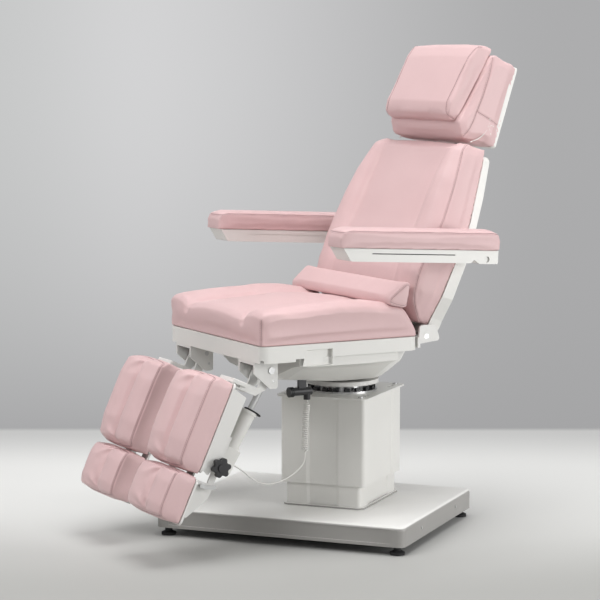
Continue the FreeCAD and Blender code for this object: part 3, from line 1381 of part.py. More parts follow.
def lead_route():
    """Places along the plain lead, the last ones square to the gearbox."""
    places = [Vector(*point) for point in lead_points]
    return places + [gearbox_face + gearbox_out * cord_radius * 9, gearbox_face]


def coil_route():
    """Places along the axis of the curls, the first ones straight out of the plug's nose."""
    return [nose_end] + [Vector(*point) for point in coil_points]


def rounded_path(places):
    """Straight runs joined by tangent arcs as large as the runs allow, and the radii of the arcs."""
    edges = []
    radii = []
    start = places[0]
    for before, here, after in zip(places, places[1:], places[2:]):
        half = (before - here).getAngle(after - here) / 2
        shorter = min(before.distanceToPoint(here), here.distanceToPoint(after))
        radius = 0.45 * shorter * math.tan(half)
        radii.append(radius)
        arc_start, middle, arc_end = corner_arc(before, here, after, radius)
        edges.append(Part.LineSegment(start, arc_start).toShape())
        edges.append(Part.Arc(arc_start, middle, arc_end).toShape())
        start = arc_end
    edges.append(Part.LineSegment(start, places[-1]).toShape())
    return Part.Wire(edges), radii


def cord_tube(path, radius):
    """Round tube along a path of lines and arcs."""
    first = path.Edges[0]
    start = first.valueAt(first.FirstParameter)
    direction = first.tangentAt(first.FirstParameter)
    ring = Part.Wire([Part.Circle(start, direction, radius).toShape()])
    return path.makePipeShell([ring], True, False)


def leg_cord_lead():
    path, radii = rounded_path(lead_route())
    tube = cord_tube(path, cord_radius)
    section = math.pi * cord_radius ** 2
    print("lead length %.1f, volume share %.4f" % (path.Length, tube.Volume / (section * path.Length)))
    print("lead radii in diameters", ["%.1f" % (radius / cord_radius / 2) for radius in radii])
    return tube


def tangent_arc(start, control, end):
    """Arc from start to end whose end tangents meet at a control point."""
    chord_middle = (start + end) * 0.5
    half_chord = start.distanceToPoint(end) / 2
    rise = control.distanceToPoint(chord_middle)
    radius = start.distanceToPoint(control) * half_chord / rise
    sagitta = radius - math.sqrt(radius ** 2 - half_chord ** 2)
    middle = chord_middle + (control - chord_middle) * (sagitta / rise)
    return Part.Arc(start, middle, end).toShape(), radius


def biarc(start, start_direction, end, end_direction):
    """Two arcs that join two points with given directions, and the smaller radius."""
    across = end - start
    both = start_direction + end_direction
    slack = 2 * (1 - start_direction * end_direction)
    along = across * both
    reach = (math.sqrt(along ** 2 + slack * (across * across)) - along) / slack
    first = start + start_direction * reach
    last = end - end_direction * reach
    joint = (first + last) * 0.5
    arc_one, radius_one = tangent_arc(start, first, joint)
    arc_two, radius_two = tangent_arc(joint, last, end)
    return [arc_one, arc_two], min(radius_one, radius_two)


def curl_point(axis, turns):
    """Point of the curl after some turns, wound evenly round its axis."""
    share = curl_run_share + (1 - 2 * curl_run_share) * turns / curl_count
    value = axis.parameterAtDistance(axis.length() * share, axis.FirstParameter)
    centre = axis.value(value)
    along = axis.tangent(value)[0].normalize()
    side = along.cross(Y_AXIS).normalize()
    other = along.cross(side).normalize()
    turn = 2 * math.pi * turns
    return centre + (side * math.cos(turn) + other * math.sin(turn)) * curl_radius


def curl_direction(axis, turns):
    step = 0.001
    return (curl_point(axis, turns + step) - curl_point(axis, turns - step)).normalize()


def least_gap(path, radius):
    """Smallest clear distance between stretches of a tube that aren't neighbours along it."""
    places = path.discretize(Distance=radius)
    skip = int(math.pi * curl_radius / radius)
    least = None
    for index, here in enumerate(places):
        for other in places[index + skip:index + 4 * skip]:
            gap = here.distanceToPoint(other) - 2 * radius
            least = gap if least is None else min(least, gap)
    return least


def leg_cord_coil():
    """Curly stretch: one unbroken tube whose curls are biarcs of a quarter turn, its ends straight on the axis."""
    axis = Part.BSplineCurve()
    axis.buildFromPoles(coil_route(), False, 2)
    start = axis.value(axis.FirstParameter)
    end = axis.value(axis.LastParameter)
    start_direction = axis.tangent(axis.FirstParameter)[0].normalize()
    end_direction = axis.tangent(axis.LastParameter)[0].normalize()
    knots = [(start + start_direction * 2 * cord_radius, start_direction)]
    for quarter in range(curl_count * 4 + 1):
        knots.append((curl_point(axis, quarter / 4), curl_direction(axis, quarter / 4)))
    knots.append((end - end_direction * 2 * cord_radius, end_direction))
    edges = [Part.LineSegment(start, knots[0][0]).toShape()]
    tightest = None
    for (here, here_direction), (there, there_direction) in zip(knots, knots[1:]):
        arcs, radius = biarc(here, here_direction, there, there_direction)
        edges += arcs
        tightest = radius if tightest is None else min(tightest, radius)
    edges.append(Part.LineSegment(knots[-1][0], end).toShape())
    path = Part.Wire(edges)
    tube = cord_tube(path, cord_radius)
    section = math.pi * cord_radius ** 2
    print("coil wire length %.1f, volume share %.4f" % (path.Length, tube.Volume / (section * path.Length)))
    print("coil least gap to itself %.2f, tightest radius %.2f" % (least_gap(path, cord_radius), tightest))
    return tube


# All pieces, one STEP file each
pieces = {
    "base_cover": base_cover(),
    "base_chassis": base_chassis(),
    "levelling_feet": levelling_feet(),
    "base_cover_screws": turned(Part.makeCompound(cover_screw_bars(0))),
    "lower_column_shell": column_shell(lower_half_length, lower_half_width, z_base_top,
                                       z_base_top + lower_shell_height),
    "lift_guide": square_tube(guide_side, guide_wall, z_chassis_top, z_guide_top),
    "lift_motor": lift_motor(),
    "upper_column_shell": column_shell(upper_half_length, upper_half_width, z_upper_low, z_plate_low),
    "column_top_plate": column_top_plate(),
    "top_plate_screws": plate_screws(),
    "lift_mast": square_tube(mast_side, mast_wall, z_mast_low, z_plate_low),
    "lift_push_rod": lift_push_rod(),
    "swivel_ring_lower": swivel_ring_lower(),
    "swivel_blocks": swivel_blocks(),
    "swivel_ring_upper": swivel_ring_upper(),
    "seat_frame": seat_frame(),
    "seat_tray": seat_tray(),
    "seat_pan": seat_pan(),
    "seat_cushion": seat_cushion(),
    "leg_brackets": both_sides(leg_bracket()),
    "socket_liners": both_sides(socket_liner()),
    "hinge_pins": Part.makeCompound([side for pin in leg_pins() + [back_pin()] for side in (pin, mirrored(pin))]),
    "back_hinge_brackets": both_sides(back_hinge_plate()),
    "control_box": control_box(),
    "cable_connector": cable_connector(),
    "cable_strain_relief": connector_ring(),
    "leg_cord_coil": leg_cord_coil(),
    "leg_cord_lead": leg_cord_lead(),
    "back_drive_tube": back_drive_tube(),
    "back_drive_rod": back_drive_rod(),
    "back_shell": back_shell(),
    "back_frame": back_frame(),
    "back_cushion": back_cushion(),
    "lumbar_cushion": lumbar_cushion(),
    "head_block": head_block(),
    "head_shell": head_shell(),
    "head_pillow": head_pillow(),
    "head_rods": head_rods(),
    "pillow_elastic": pillow_elastic(),
}
left_pieces = {
    "leg_frame": leg_frame(),
    "calf_cushion": pad_cushion(calf_start, calf_length, 0, pad_lobe_crown),
    "leg_drive_tube": leg_drive_tube(),
    "leg_drive_rod": leg_drive_rod(),
    "foot_frame": foot_frame(),
    "foot_cushion": pad_cushion(foot_start, foot_pad_length, pad_side_tuck, foot_lobe_crown),
    "foot_knob": foot_knob(),
    "foot_lever": foot_lever(),
    "arm_shell": arm_shell(),
    "arm_pad": arm_pad(),
}
for name, shape in left_pieces.items():
    pieces[name + "_left"] = shape
    pieces[name + "_right"] = mirrored(shape)

# The origin is on the floor at the centre of the chair's box, its free lead left out of the box
lead_names = ("leg_cord_coil", "leg_cord_lead")
chair = Part.makeCompound([shape for name, shape in pieces.items() if name not in lead_names])
chair_box = chair.optimalBoundingBox(False, False)
origin_shift = Vector(-chair_box.Center.x, -chair_box.Center.y, -chair_box.ZMin)

for name, shape in pieces.items():
    shape.translated(origin_shift).exportStep("parts/" + name + ".step")
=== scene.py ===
import math

import bmesh
import bpy
import numpy as np
from mathutils import Matrix, Vector, kdtree, noise
from mathutils.bvhtree import BVHTree


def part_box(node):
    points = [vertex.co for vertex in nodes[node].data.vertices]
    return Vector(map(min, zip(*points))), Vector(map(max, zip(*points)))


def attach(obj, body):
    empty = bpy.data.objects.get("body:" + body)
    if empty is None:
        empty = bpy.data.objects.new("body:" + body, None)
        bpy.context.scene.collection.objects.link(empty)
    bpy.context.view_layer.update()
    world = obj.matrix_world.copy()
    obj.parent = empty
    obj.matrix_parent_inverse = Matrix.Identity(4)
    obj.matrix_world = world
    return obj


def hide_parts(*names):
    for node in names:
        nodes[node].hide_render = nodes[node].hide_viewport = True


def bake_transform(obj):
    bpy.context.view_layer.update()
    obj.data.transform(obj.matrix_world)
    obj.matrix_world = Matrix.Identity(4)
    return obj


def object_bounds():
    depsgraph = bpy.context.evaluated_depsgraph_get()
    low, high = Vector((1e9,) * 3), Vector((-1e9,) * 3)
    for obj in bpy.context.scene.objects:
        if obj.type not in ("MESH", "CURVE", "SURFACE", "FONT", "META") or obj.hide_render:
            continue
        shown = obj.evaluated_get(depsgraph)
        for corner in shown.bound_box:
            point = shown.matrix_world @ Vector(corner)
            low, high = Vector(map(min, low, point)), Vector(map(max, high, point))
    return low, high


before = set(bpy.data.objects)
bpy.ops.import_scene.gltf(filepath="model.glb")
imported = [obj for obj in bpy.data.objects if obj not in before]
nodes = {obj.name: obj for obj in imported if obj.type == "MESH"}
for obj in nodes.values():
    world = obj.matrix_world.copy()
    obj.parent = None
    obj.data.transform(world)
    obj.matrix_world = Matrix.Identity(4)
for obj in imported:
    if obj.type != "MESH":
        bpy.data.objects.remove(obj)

cad_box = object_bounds()
scene = bpy.context.scene
sides = {"left": 1, "right": -1}

# The chair stands round its swivel axis, which the upper swivel ring gives, so every place below
# is measured from that axis on the floor: x to the sitter's left, y to the rear, z up, in metres.
ring_low, ring_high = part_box("swivel_ring_upper")
swivel_axis = Vector(((ring_low[0] + ring_high[0]) / 2, (ring_low[1] + ring_high[1]) / 2, 0))


def chair_place(x, y, z):
    return swivel_axis + Vector((x, y, z))


# Camera at the photographed angle: low, from the sitter's front left, far away with a long lens.
camera_azimuth = math.radians(61.3)
camera_rise = math.radians(6.4)
camera_right = Vector((math.cos(camera_azimuth), math.sin(camera_azimuth), 0))
camera_back = Vector((math.sin(camera_azimuth) * math.cos(camera_rise),
                      -math.cos(camera_azimuth) * math.cos(camera_rise), math.sin(camera_rise)))
camera_data = bpy.data.cameras.new("camera")
camera_data.lens = 133.76
camera_data.sensor_width = 36.0
camera_data.sensor_fit = "HORIZONTAL"
camera = bpy.data.objects.new("camera", camera_data)
camera.matrix_world = Matrix.Translation(chair_place(5.807, -3.323, 1.441)) @ Matrix(
    (camera_right, camera_back.cross(camera_right), camera_back)).transposed().to_4x4()
scene.collection.objects.link(camera)
scene.camera = camera
scene.view_settings.view_transform = "Standard"


# Curly lead of the leg drives: one white cable from the plug under the seat, 25 curls that hang
# straight down, then a smooth stretch that sags to the gearbox of the left leg's drive.
cable_diameter = 0.0044
curl_radius = 0.008
curl_count = 25
curl_steps = 16
curl_run_share = 0.07
coil_route = [(0.145, -0.200, 0.4224), (0.145, -0.200, 0.404), (0.1468, -0.2065, 0.358),
              (0.1488, -0.2088, 0.310), (0.150, -0.210, 0.262)]
lead_route = [(0.1504, -0.2104, 0.246), (0.1514, -0.219, 0.230), (0.1536, -0.237, 0.215),
              (0.158, -0.265, 0.2005), (0.166, -0.302, 0.1905), (0.178, -0.342, 0.188),
              (0.189, -0.380, 0.197), (0.198, -0.412, 0.216), (0.2045, -0.440, 0.239),
              (0.207, -0.4644, 0.2557), (0.207, -0.4815, 0.2658)]


def smooth_curve(name, places):
    """A NURBS curve of third order with the places as its control points."""
    curve = bpy.data.curves.new(name, "CURVE")
    curve.dimensions = "3D"
    curve.resolution_u = 4
    spline = curve.splines.new("NURBS")
    spline.points.add(len(places) - 1)
    for point, place in zip(spline.points, places):
        point.co = (*place, 1.0)
    spline.order_u = 3
    spline.use_endpoint_u = True
    made = bpy.data.objects.new(name, curve)
    scene.collection.objects.link(made)
    bpy.context.view_layer.update()
    return made


def curve_points(curve_object):
    """Points of a curve's own line, read from the curve with no bevel."""
    mesh = bpy.data.meshes.new_from_object(curve_object)
    places = [vertex.co.copy() for vertex in mesh.vertices]
    bpy.data.meshes.remove(mesh)
    return places


def along_line(places, shares):
    """Places and directions at shares of a line's length."""
    places = np.array(places)
    runs = np.linalg.norm(np.diff(places, axis=0), axis=1)
    reach = np.concatenate([[0.0], np.cumsum(runs)])
    wanted = np.array(shares) * reach[-1]
    step = 0.002
    at, ahead, behind = (np.stack([np.interp(np.clip(wanted + move, 0, reach[-1]), reach, places[:, axis])
                                   for axis in range(3)], axis=1) for move in (0, step, -step))
    directions = ahead - behind
    return at, directions / np.linalg.norm(directions, axis=1)[:, None]


def tube_mesh(curve_object, radius):
    """The curve as a round closed tube. The curve itself is removed."""
    curve_object.data.bevel_depth = radius
    curve_object.data.bevel_resolution = 2
    curve_object.data.use_fill_caps = True
    bpy.context.view_layer.update()
    mesh = bpy.data.meshes.new_from_object(curve_object)
    bpy.data.objects.remove(curve_object)
    for face in mesh.polygons:
        face.use_smooth = True
    return mesh


def paint(red, green, blue):
    """A colour as it is written on screen, from 0 to 255, as the renderer's own linear colour."""
    linear = []
    for share in (red / 255, green / 255, blue / 255):
        linear.append(share / 12.92 if share <= 0.04045 else ((share + 0.055) / 1.055) ** 2.4)
    return (*linear, 1.0)


class Link:
    """A socket on its way through a material: sums and products of links add Math nodes."""

    def __init__(self, shading, socket):
        self.shading = shading
        self.socket = socket

    def math(self, operation, *values):
        return self.shading.node("ShaderNodeMath", {"operation": operation}, dict(enumerate(values)))

    def __add__(self, other):
        return self.math("ADD", self, other)

    def __radd__(self, other):
        return self.math("ADD", other, self)

    def __sub__(self, other):
        return self.math("SUBTRACT", self, other)

    def __rsub__(self, other):
        return self.math("SUBTRACT", other, self)

    def __mul__(self, other):
        return self.math("MULTIPLY", self, other)

    def __rmul__(self, other):
        return self.math("MULTIPLY", other, self)


class Shading:
    """A tree of shader nodes, with one way to add any node."""

    def __init__(self, tree):
        self.tree = tree

    def node(self, kind, settings=None, inputs=None, output=0):
        made = self.tree.nodes.new(kind)
        for name, value in (settings or {}).items():
            setattr(made, name, value)
        for name, value in (inputs or {}).items():
            if isinstance(value, Link):
                self.tree.links.new(value.socket, made.inputs[name])
            else:
                made.inputs[name].default_value = value
        return Link(self, made.outputs[output])

    def mix(self, share, first, second):
        """A colour between two colours."""
        return self.node("ShaderNodeMix", {"data_type": "RGBA"}, {0: share, 6: first, 7: second}, output=2)

    def noise(self, place, scale, detail, **more):
        inputs = {"Vector": place, "Scale": scale, "Detail": detail, **more}
        return self.node("ShaderNodeTexNoise", {}, inputs, output="Fac")

    def finish(self, output_node, shader):
        self.tree.links.new(shader.socket, self.tree.nodes[output_node].inputs["Surface"])


class Finish(Shading):
    """A procedural finish on the plain surface shader."""

    def __init__(self, name, **fixed):
        self.material = bpy.data.materials.new(name)
        self.material.use_nodes = True
        super().__init__(self.material.node_tree)
        self.shader = self.tree.nodes["Principled BSDF"]
        for socket, value in fixed.items():
            self.shader.inputs[socket.replace("_", " ")].default_value = value
        self.place = self.node("ShaderNodeTexCoord", output="Object")

    def feed(self, socket, link):
        self.tree.links.new(link.socket, self.shader.inputs[socket])


coil_axis = smooth_curve("coil_axis", [chair_place(*place) for place in coil_route])
axis_points = curve_points(coil_axis)
bpy.data.objects.remove(coil_axis)
turn_count = curl_count * curl_steps
turn_shares = [curl_run_share + (1 - 2 * curl_run_share) * step / turn_count
               for step in range(turn_count + 1)]
turn_centres, turn_directions = along_line(axis_points, turn_shares)
cable_points = [axis_points[0], Vector(turn_centres[0]) - Vector(turn_directions[0]) * cable_diameter]
for step, (centre, direction) in enumerate(zip(turn_centres, turn_directions)):
    across = Vector(direction).cross(Vector((0, 1, 0))).normalized()
    other = Vector(direction).cross(across).normalized()
    turn = 2 * math.pi * step / curl_steps
    cable_points.append(Vector(centre) + (across * math.cos(turn) + other * math.sin(turn)) * curl_radius)
cable_points.append(Vector(turn_centres[-1]) + Vector(turn_directions[-1]) * cable_diameter)
cable_points.append(axis_points[-1])
cable_points += [chair_place(*place) for place in lead_route]
cable_curve = smooth_curve("leg_cable_line", cable_points)
cable_line = curve_points(cable_curve)
leg_cable = bpy.data.objects.new("leg_cable", tube_mesh(cable_curve, cable_diameter / 2))
scene.collection.objects.link(leg_cable)
cable_finish = Finish("white_cable", Roughness=0.42)
cable_finish.feed("Base Color", cable_finish.mix(cable_finish.noise(cable_finish.place, 900.0, 2.0),
                                                 paint(218, 216, 212), paint(232, 231, 227)))
leg_cable.data.materials.append(cable_finish.material)
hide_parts("leg_cord_coil", "leg_cord_lead")
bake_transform(leg_cable)


# Studio: soft boxes above, at the right and in front of the chair, and a dim sky. The camera and
# glossy surfaces see the sky as the pale grey of the photographed wall, with painted light and shade.
def soft_box(name, place, target, width, height, power):
    lamp_data = bpy.data.lights.new(name, "AREA")
    lamp_data.shape = "RECTANGLE"
    lamp_data.size = width
    lamp_data.size_y = height
    lamp_data.energy = power
    lamp = bpy.data.objects.new(name, lamp_data)
    lamp.location = place
    lamp.rotation_euler = (target - place).to_track_quat("-Z", "Y").to_euler()
    scene.collection.objects.link(lamp)


seat_middle = chair_place(0, -0.1, 0.7)
soft_box("overhead_box", chair_place(0.5, 0.0, 4.6), seat_middle, 2.4, 2.4, 108)
soft_box("right_box", chair_place(3.6, 2.6, 1.2), seat_middle, 1.6, 2.0, 92)
soft_box("front_box", chair_place(0.7, -3.2, 3.1), seat_middle, 2.0, 1.6, 56)
world = bpy.data.worlds.new("studio")
scene.world = world
world.use_nodes = True
studio = Shading(world.node_tree)
view_flat = Vector((-camera_back.x, -camera_back.y, 0)).normalized()


def flat_run(shading, place, direction):
    """Distance along a flat direction."""
    return shading.node("ShaderNodeVectorMath", {"operation": "DOT_PRODUCT"},
                        {0: place, 1: (direction.x, direction.y, 0)}, output="Value")


def eased(shading, value, low, high, kind="SMOOTHSTEP"):
    """0 below the low value, 1 above the high one, and a smooth rise between them."""
    return shading.node("ShaderNodeMapRange", {"interpolation_type": kind},
                        {"Value": value, "From Min": low, "From Max": high})


def painted_wall_light(shading, across, down):
    """The photographed wall with painted light and shade: lightest left of the middle, darker to the right
    and towards the floor.
    """
    to_right = eased(shading, across, -0.09, 0.12)
    at_left = eased(shading, across, -0.15, -0.06)
    high = shading.mix(to_right, shading.mix(at_left, paint(199, 200, 200), paint(212, 212, 213)),
                       paint(173, 173, 174))
    low = shading.mix(to_right, paint(169, 169, 170), paint(165, 165, 166))
    return shading.mix(down * down, high, low)


gaze = studio.node("ShaderNodeTexCoord", output="Generated")
gaze_ahead = flat_run(studio, gaze, view_flat)
gaze_across = flat_run(studio, gaze, camera_right)
sky_light = studio.node("ShaderNodeBackground", {}, {"Color": (1.0, 1.0, 1.0, 1.0), "Strength": 0.42})
above_floor = 0.0 * gaze_ahead
sky_seen = studio.node("ShaderNodeBackground", {}, {
    "Color": painted_wall_light(studio, gaze_across.math("DIVIDE", gaze_across, gaze_ahead), above_floor),
    "Strength": 1.0})


def seen_directly(shading):
    """1 for what the camera, gloss and glass see, 0 for the light that the surface gives."""
    seen = shading.node("ShaderNodeLightPath", output="Is Camera Ray")
    for other in ("Is Glossy Ray", "Is Transmission Ray"):
        seen = seen.math("MAXIMUM", seen, shading.node("ShaderNodeLightPath", output=other))
    return seen


studio.finish("World Output", studio.node("ShaderNodeMixShader", {}, {0: seen_directly(studio), 1: sky_light,
                                                                      2: sky_seen}))


# Pale studio floor with painted shade: darker towards the camera, lightest just behind the chair and
# darker again up to the line where the photographed floor ends. Beyond that line it glows as a painted
# wall of grey, lighter at the left than at the right, and it takes the chair's shadow everywhere.
floor_half = 1500.0
wall_line = 1.72
wall_blend = 0.05
viewpoint = chair_place(5.807, -3.323, 0)
floor_mesh = bpy.data.meshes.new("studio_floor")
floor_mesh.from_pydata([(x, y, 0) for x, y in ((-floor_half, -floor_half), (floor_half, -floor_half),
                                              (floor_half, floor_half), (-floor_half, floor_half))],
                       [], [(0, 1, 2, 3)])
floor = bpy.data.objects.new("studio_floor", floor_mesh)
floor.location.z = cad_box[0][2]
scene.collection.objects.link(floor)
floor_finish = Finish("pale_floor", Roughness=0.6)
beyond = flat_run(floor_finish, floor_finish.place, view_flat) - swivel_axis.dot(view_flat)
from_view = flat_run(floor_finish, floor_finish.place, view_flat) - viewpoint.dot(view_flat)
sideways = flat_run(floor_finish, floor_finish.place, camera_right) - viewpoint.dot(camera_right)
# Painted shade in the floor's colour: darker towards the camera and towards the wall line.
painted_shade_floor_tone = floor_finish.mix(eased(floor_finish, beyond, -0.9, 0.7),
                             paint(172, 172, 169), paint(238, 238, 236))
floor_finish.feed("Base Color", floor_finish.mix(eased(floor_finish, beyond, 0.9, wall_line), painted_shade_floor_tone,
                                                 paint(208, 208, 207)))
line_run = wall_line + (swivel_axis - viewpoint).dot(view_flat)
across_view = sideways.math("DIVIDE", sideways, from_view)
down_view = from_view.math("DIVIDE", line_run, from_view)
# Beyond the wall line the floor glows with the painted light and shade of the wall.
painted_wall_glow = floor_finish.node("ShaderNodeEmission", {}, {
    "Color": painted_wall_light(floor_finish, across_view, down_view), "Strength": 1.0})
floor_surface = Link(floor_finish, floor_finish.shader.outputs["BSDF"])
floor_finish.finish("Material Output", floor_finish.node("ShaderNodeMixShader", {}, {
    0: eased(floor_finish, beyond, wall_line - wall_blend, wall_line + wall_blend), 1: floor_surface,
    2: painted_wall_glow}))
floor_mesh.materials.append(floor_finish.material)


# Pink leatherette over foam, as on every cushion: satin vinyl with a fine leather grain, a soft
# change of tone over each panel and a little more gloss where the tone is lighter. Its seams are sewn
# with a darker thread.
def leatherette(name, dark, light, worn):
    skin = Finish(name, Roughness=0.46, Specular_IOR_Level=0.42)
    clouds = skin.noise(skin.place, 5.0, 3.0)
    mottle = skin.noise(skin.place, 140.0, 4.0)
    skin.feed("Base Color", skin.mix(clouds * 0.75 + mottle * 0.25, dark, light))
    pores = skin.node("ShaderNodeTexVoronoi", {"feature": "DISTANCE_TO_EDGE"},
                      {"Vector": skin.place, "Scale": 620.0}, output="Distance")
    pits = skin.node("ShaderNodeMapRange", {}, {"Value": pores, "From Min": 0.0, "From Max": 0.35})
    skin.feed("Roughness", worn - clouds * 0.12 - pits * 0.03)
    grain = skin.node("ShaderNodeBump", {}, {"Strength": 0.35, "Distance": 0.00025, "Height": pits})
    skin.feed("Normal", skin.node("ShaderNodeBump", {}, {
        "Strength": 0.2, "Distance": 0.002, "Height": skin.noise(skin.place, 34.0, 4.0, Distortion=0.5),
        "Normal": grain}))
    return skin.material


cover_finish = leatherette("pink_leatherette", paint(212, 180, 181), paint(224, 192, 192), 0.54)
thread_finish = leatherette("seam_thread", paint(158, 126, 129), paint(172, 138, 140), 0.7)


def evaluated(piece):
    """The piece's mesh with its modifiers applied."""
    bpy.context.view_layer.update()
    graph = bpy.context.evaluated_depsgraph_get()
    return bpy.data.meshes.new_from_object(piece.evaluated_get(graph))


def with_modifier(piece, kind, **settings):
    """Add a modifier, apply it and leave the plain mesh."""
    modifier = piece.modifiers.new(kind.lower(), kind)
    for name, value in settings.items():
        setattr(modifier, name, value)
    mesh = evaluated(piece)
    piece.modifiers.clear()
    old = piece.data
    piece.data = mesh
    bpy.data.meshes.remove(old)


def read_vectors(collection, name, count):
    flat = np.empty(len(collection) * count)
    collection.foreach_get(name, flat)
    return flat.reshape(-1, count)


def set_places(mesh, places):
    mesh.vertices.foreach_set("co", places.ravel())
    mesh.update()


def smooth_step(value, low, high):
    share = np.clip((value - low) / (high - low), 0, 1)
    return share * share * (3 - 2 * share)


def evened_out(mesh, moved, rounds=14):
    """Moves of a mesh's points, each round shared with the neighbours, so that no small ripples stay."""
    ends = np.empty(len(mesh.edges) * 2, int)
    mesh.edges.foreach_get("vertices", ends)
    first, second = ends.reshape(-1, 2).T
    neighbours = np.bincount(ends, minlength=len(moved))[:, None]
    for _ in range(rounds):
        total = np.zeros_like(moved)
        np.add.at(total, first, moved[second])
        np.add.at(total, second, moved[first])
        moved = (moved + total / neighbours) / 2
    return moved


sewn_reach = 0.006
swell_frames = 20


def swell(piece, cap, under, sewn):
    """Let the cover swell as cloth under the foam's pressure, capped, held where it is sewn down
    and flat where the cushion rests."""
    mesh = piece.data
    start = read_vectors(mesh.vertices, "co", 3)
    resting = read_vectors(mesh.vertices, "normal", 3) @ np.array(under)
    free = cap * (1 - smooth_step(resting, 0.3, 0.75))
    cloth = piece.modifiers.new("cloth", "CLOTH")
    cloth.settings.quality = 2
    cloth.settings.mass = 0.3
    cloth.settings.tension_stiffness = 12
    cloth.settings.compression_stiffness = 12
    cloth.settings.bending_stiffness = 2.0
    cloth.settings.use_pressure = True
    cloth.settings.uniform_pressure_force = 4.0
    cloth.settings.effector_weights.gravity = 0.0
    cloth.point_cache.frame_start = 1
    cloth.point_cache.frame_end = swell_frames
    if sewn:
        tree = kdtree.KDTree(len(sewn))
        for number, place in enumerate(sewn):
            tree.insert(place, number)
        tree.balance()
        held = piece.vertex_groups.new(name="sewn_down")
        close = [number for number, place in enumerate(start) if tree.find(place)[2] < sewn_reach]
        held.add(close, 1.0, "REPLACE")
        cloth.settings.vertex_group_mass = "sewn_down"
    for number in range(1, swell_frames + 1):
        scene.frame_set(number)
    swollen = evaluated(piece)
    moved = evened_out(mesh, read_vectors(swollen.vertices, "co", 3) - start)
    reach = np.linalg.norm(moved, axis=1)
    piece.modifiers.clear()
    piece.vertex_groups.clear()
    bpy.data.meshes.remove(swollen)
    set_places(mesh, start + moved * (np.minimum(reach, free) / np.maximum(reach, 1e-9))[:, None])
    scene.frame_set(1)


def upholster(node, body, under, voxel=0.005, rounding=5, cap=0.005, sewn=(), shape=None):
    """The cushion of a node: its form in even quads, edges rounded, then swollen and made finer."""
    piece = bpy.data.objects.new(node + "_upholstery", nodes[node].data.copy())
    piece.data.materials.clear()
    scene.collection.objects.link(piece)
    solid = bmesh.new()
    solid.from_mesh(piece.data)
    bmesh.ops.remove_doubles(solid, verts=solid.verts, dist=1e-5)
    solid.to_mesh(piece.data)
    solid.free()
    with_modifier(piece, "REMESH", mode="VOXEL", voxel_size=voxel)
    with_modifier(piece, "SMOOTH", factor=0.5, iterations=rounding)
    if shape:
        set_places(piece.data, shape(read_vectors(piece.data.vertices, "co", 3)))
    swell(piece, cap, under, sewn)
    with_modifier(piece, "SUBSURF", levels=1, render_levels=1)
    for face in piece.data.polygons:
        face.use_smooth = True
    piece.data.materials.clear()
    piece.data.materials.append(cover_finish)
    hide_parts(node)
    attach(piece, body)
    return piece


def cover_of(piece):
    mesh = piece.data
    return BVHTree.FromPolygons([vertex.co for vertex in mesh.vertices],
                                [tuple(face.vertices) for face in mesh.polygons])


def laid_on(cover, places, spacing=0.003):
    """A smooth line through the places, laid on the cover, with the cover's outward directions."""
    guide = smooth_curve("seam_guide", places)
    points = curve_points(guide)
    bpy.data.objects.remove(guide)
    length = sum((there - here).length for here, there in zip(points, points[1:]))
    wanted, _ = along_line(points, np.linspace(0, 1, int(length / spacing) + 1))
    found = [cover.find_nearest(Vector(place)) for place in wanted]
    line = np.array([nearest for nearest, normal, face, distance in found])
    outward = np.array([normal for nearest, normal, face, distance in found])
    for _ in range(3):
        line[1:-1] = (line[:-2] + line[1:-1] * 2 + line[2:]) / 4
        outward[1:-1] = (outward[:-2] + outward[1:-1] * 2 + outward[2:]) / 4
    return line, outward / np.linalg.norm(outward, axis=1)[:, None]


def draw_in(piece, line, outward, reach, depth):
    """Pull the cover in along a line, most on the line itself and not at all beyond the reach."""
    tree = kdtree.KDTree(len(line))
    for number, place in enumerate(line):
        tree.insert(place, number)
    tree.balance()
    places = read_vectors(piece.data.vertices, "co", 3)
    close = np.all((places > line.min(axis=0) - reach) & (places < line.max(axis=0) + reach), axis=1)
    for index in np.nonzero(close)[0]:
        _, number, distance = tree.find(places[index])
        if distance < reach:
            places[index] -= outward[number] * depth * (1 - (distance / reach) ** 2) ** 2
    set_places(piece.data, places)


stitch_pitch = 0.0055
stitch_length = 0.0036
stitch_radius = 0.00045
stitch_sides = 5
thread_radius = 0.0006


def stitch_row(line, outward, set_off):
    """Vertices and faces of a row of thread stitches beside a seam."""
    vertices = []
    faces = []
    length = np.linalg.norm(np.diff(line, axis=0), axis=1).sum()
    stops = np.arange(stitch_pitch, length - stitch_pitch, stitch_pitch)
    middles, directions = along_line(line, stops / length)
    rows = np.linspace(0, len(line) - 1, len(middles)).astype(int)
    for middle, direction, row in zip(middles, directions, rows):
        up = Vector(outward[row])
        ahead = Vector(direction)
        across = up.cross(ahead).normalized()
        centre = Vector(middle) + across * set_off
        first = len(vertices)
        for share, radius in ((-0.5, 0.4), (-0.25, 1.0), (0.25, 1.0), (0.5, 0.4)):
            for corner in range(stitch_sides):
                turn = 2 * math.pi * corner / stitch_sides
                vertices.append(centre + ahead * stitch_length * share + stitch_radius * radius
                                * (across * math.cos(turn) + up * math.sin(turn)))
        for ring in range(3):
            for corner in range(stitch_sides):
                after = (corner + 1) % stitch_sides
                low = first + ring * stitch_sides
                high = low + stitch_sides
                faces.append((low + corner, low + after, high + after, high + corner))
        faces.append(tuple(first + corner for corner in reversed(range(stitch_sides))))
        faces.append(tuple(first + 3 * stitch_sides + corner for corner in range(stitch_sides)))
    return vertices, faces


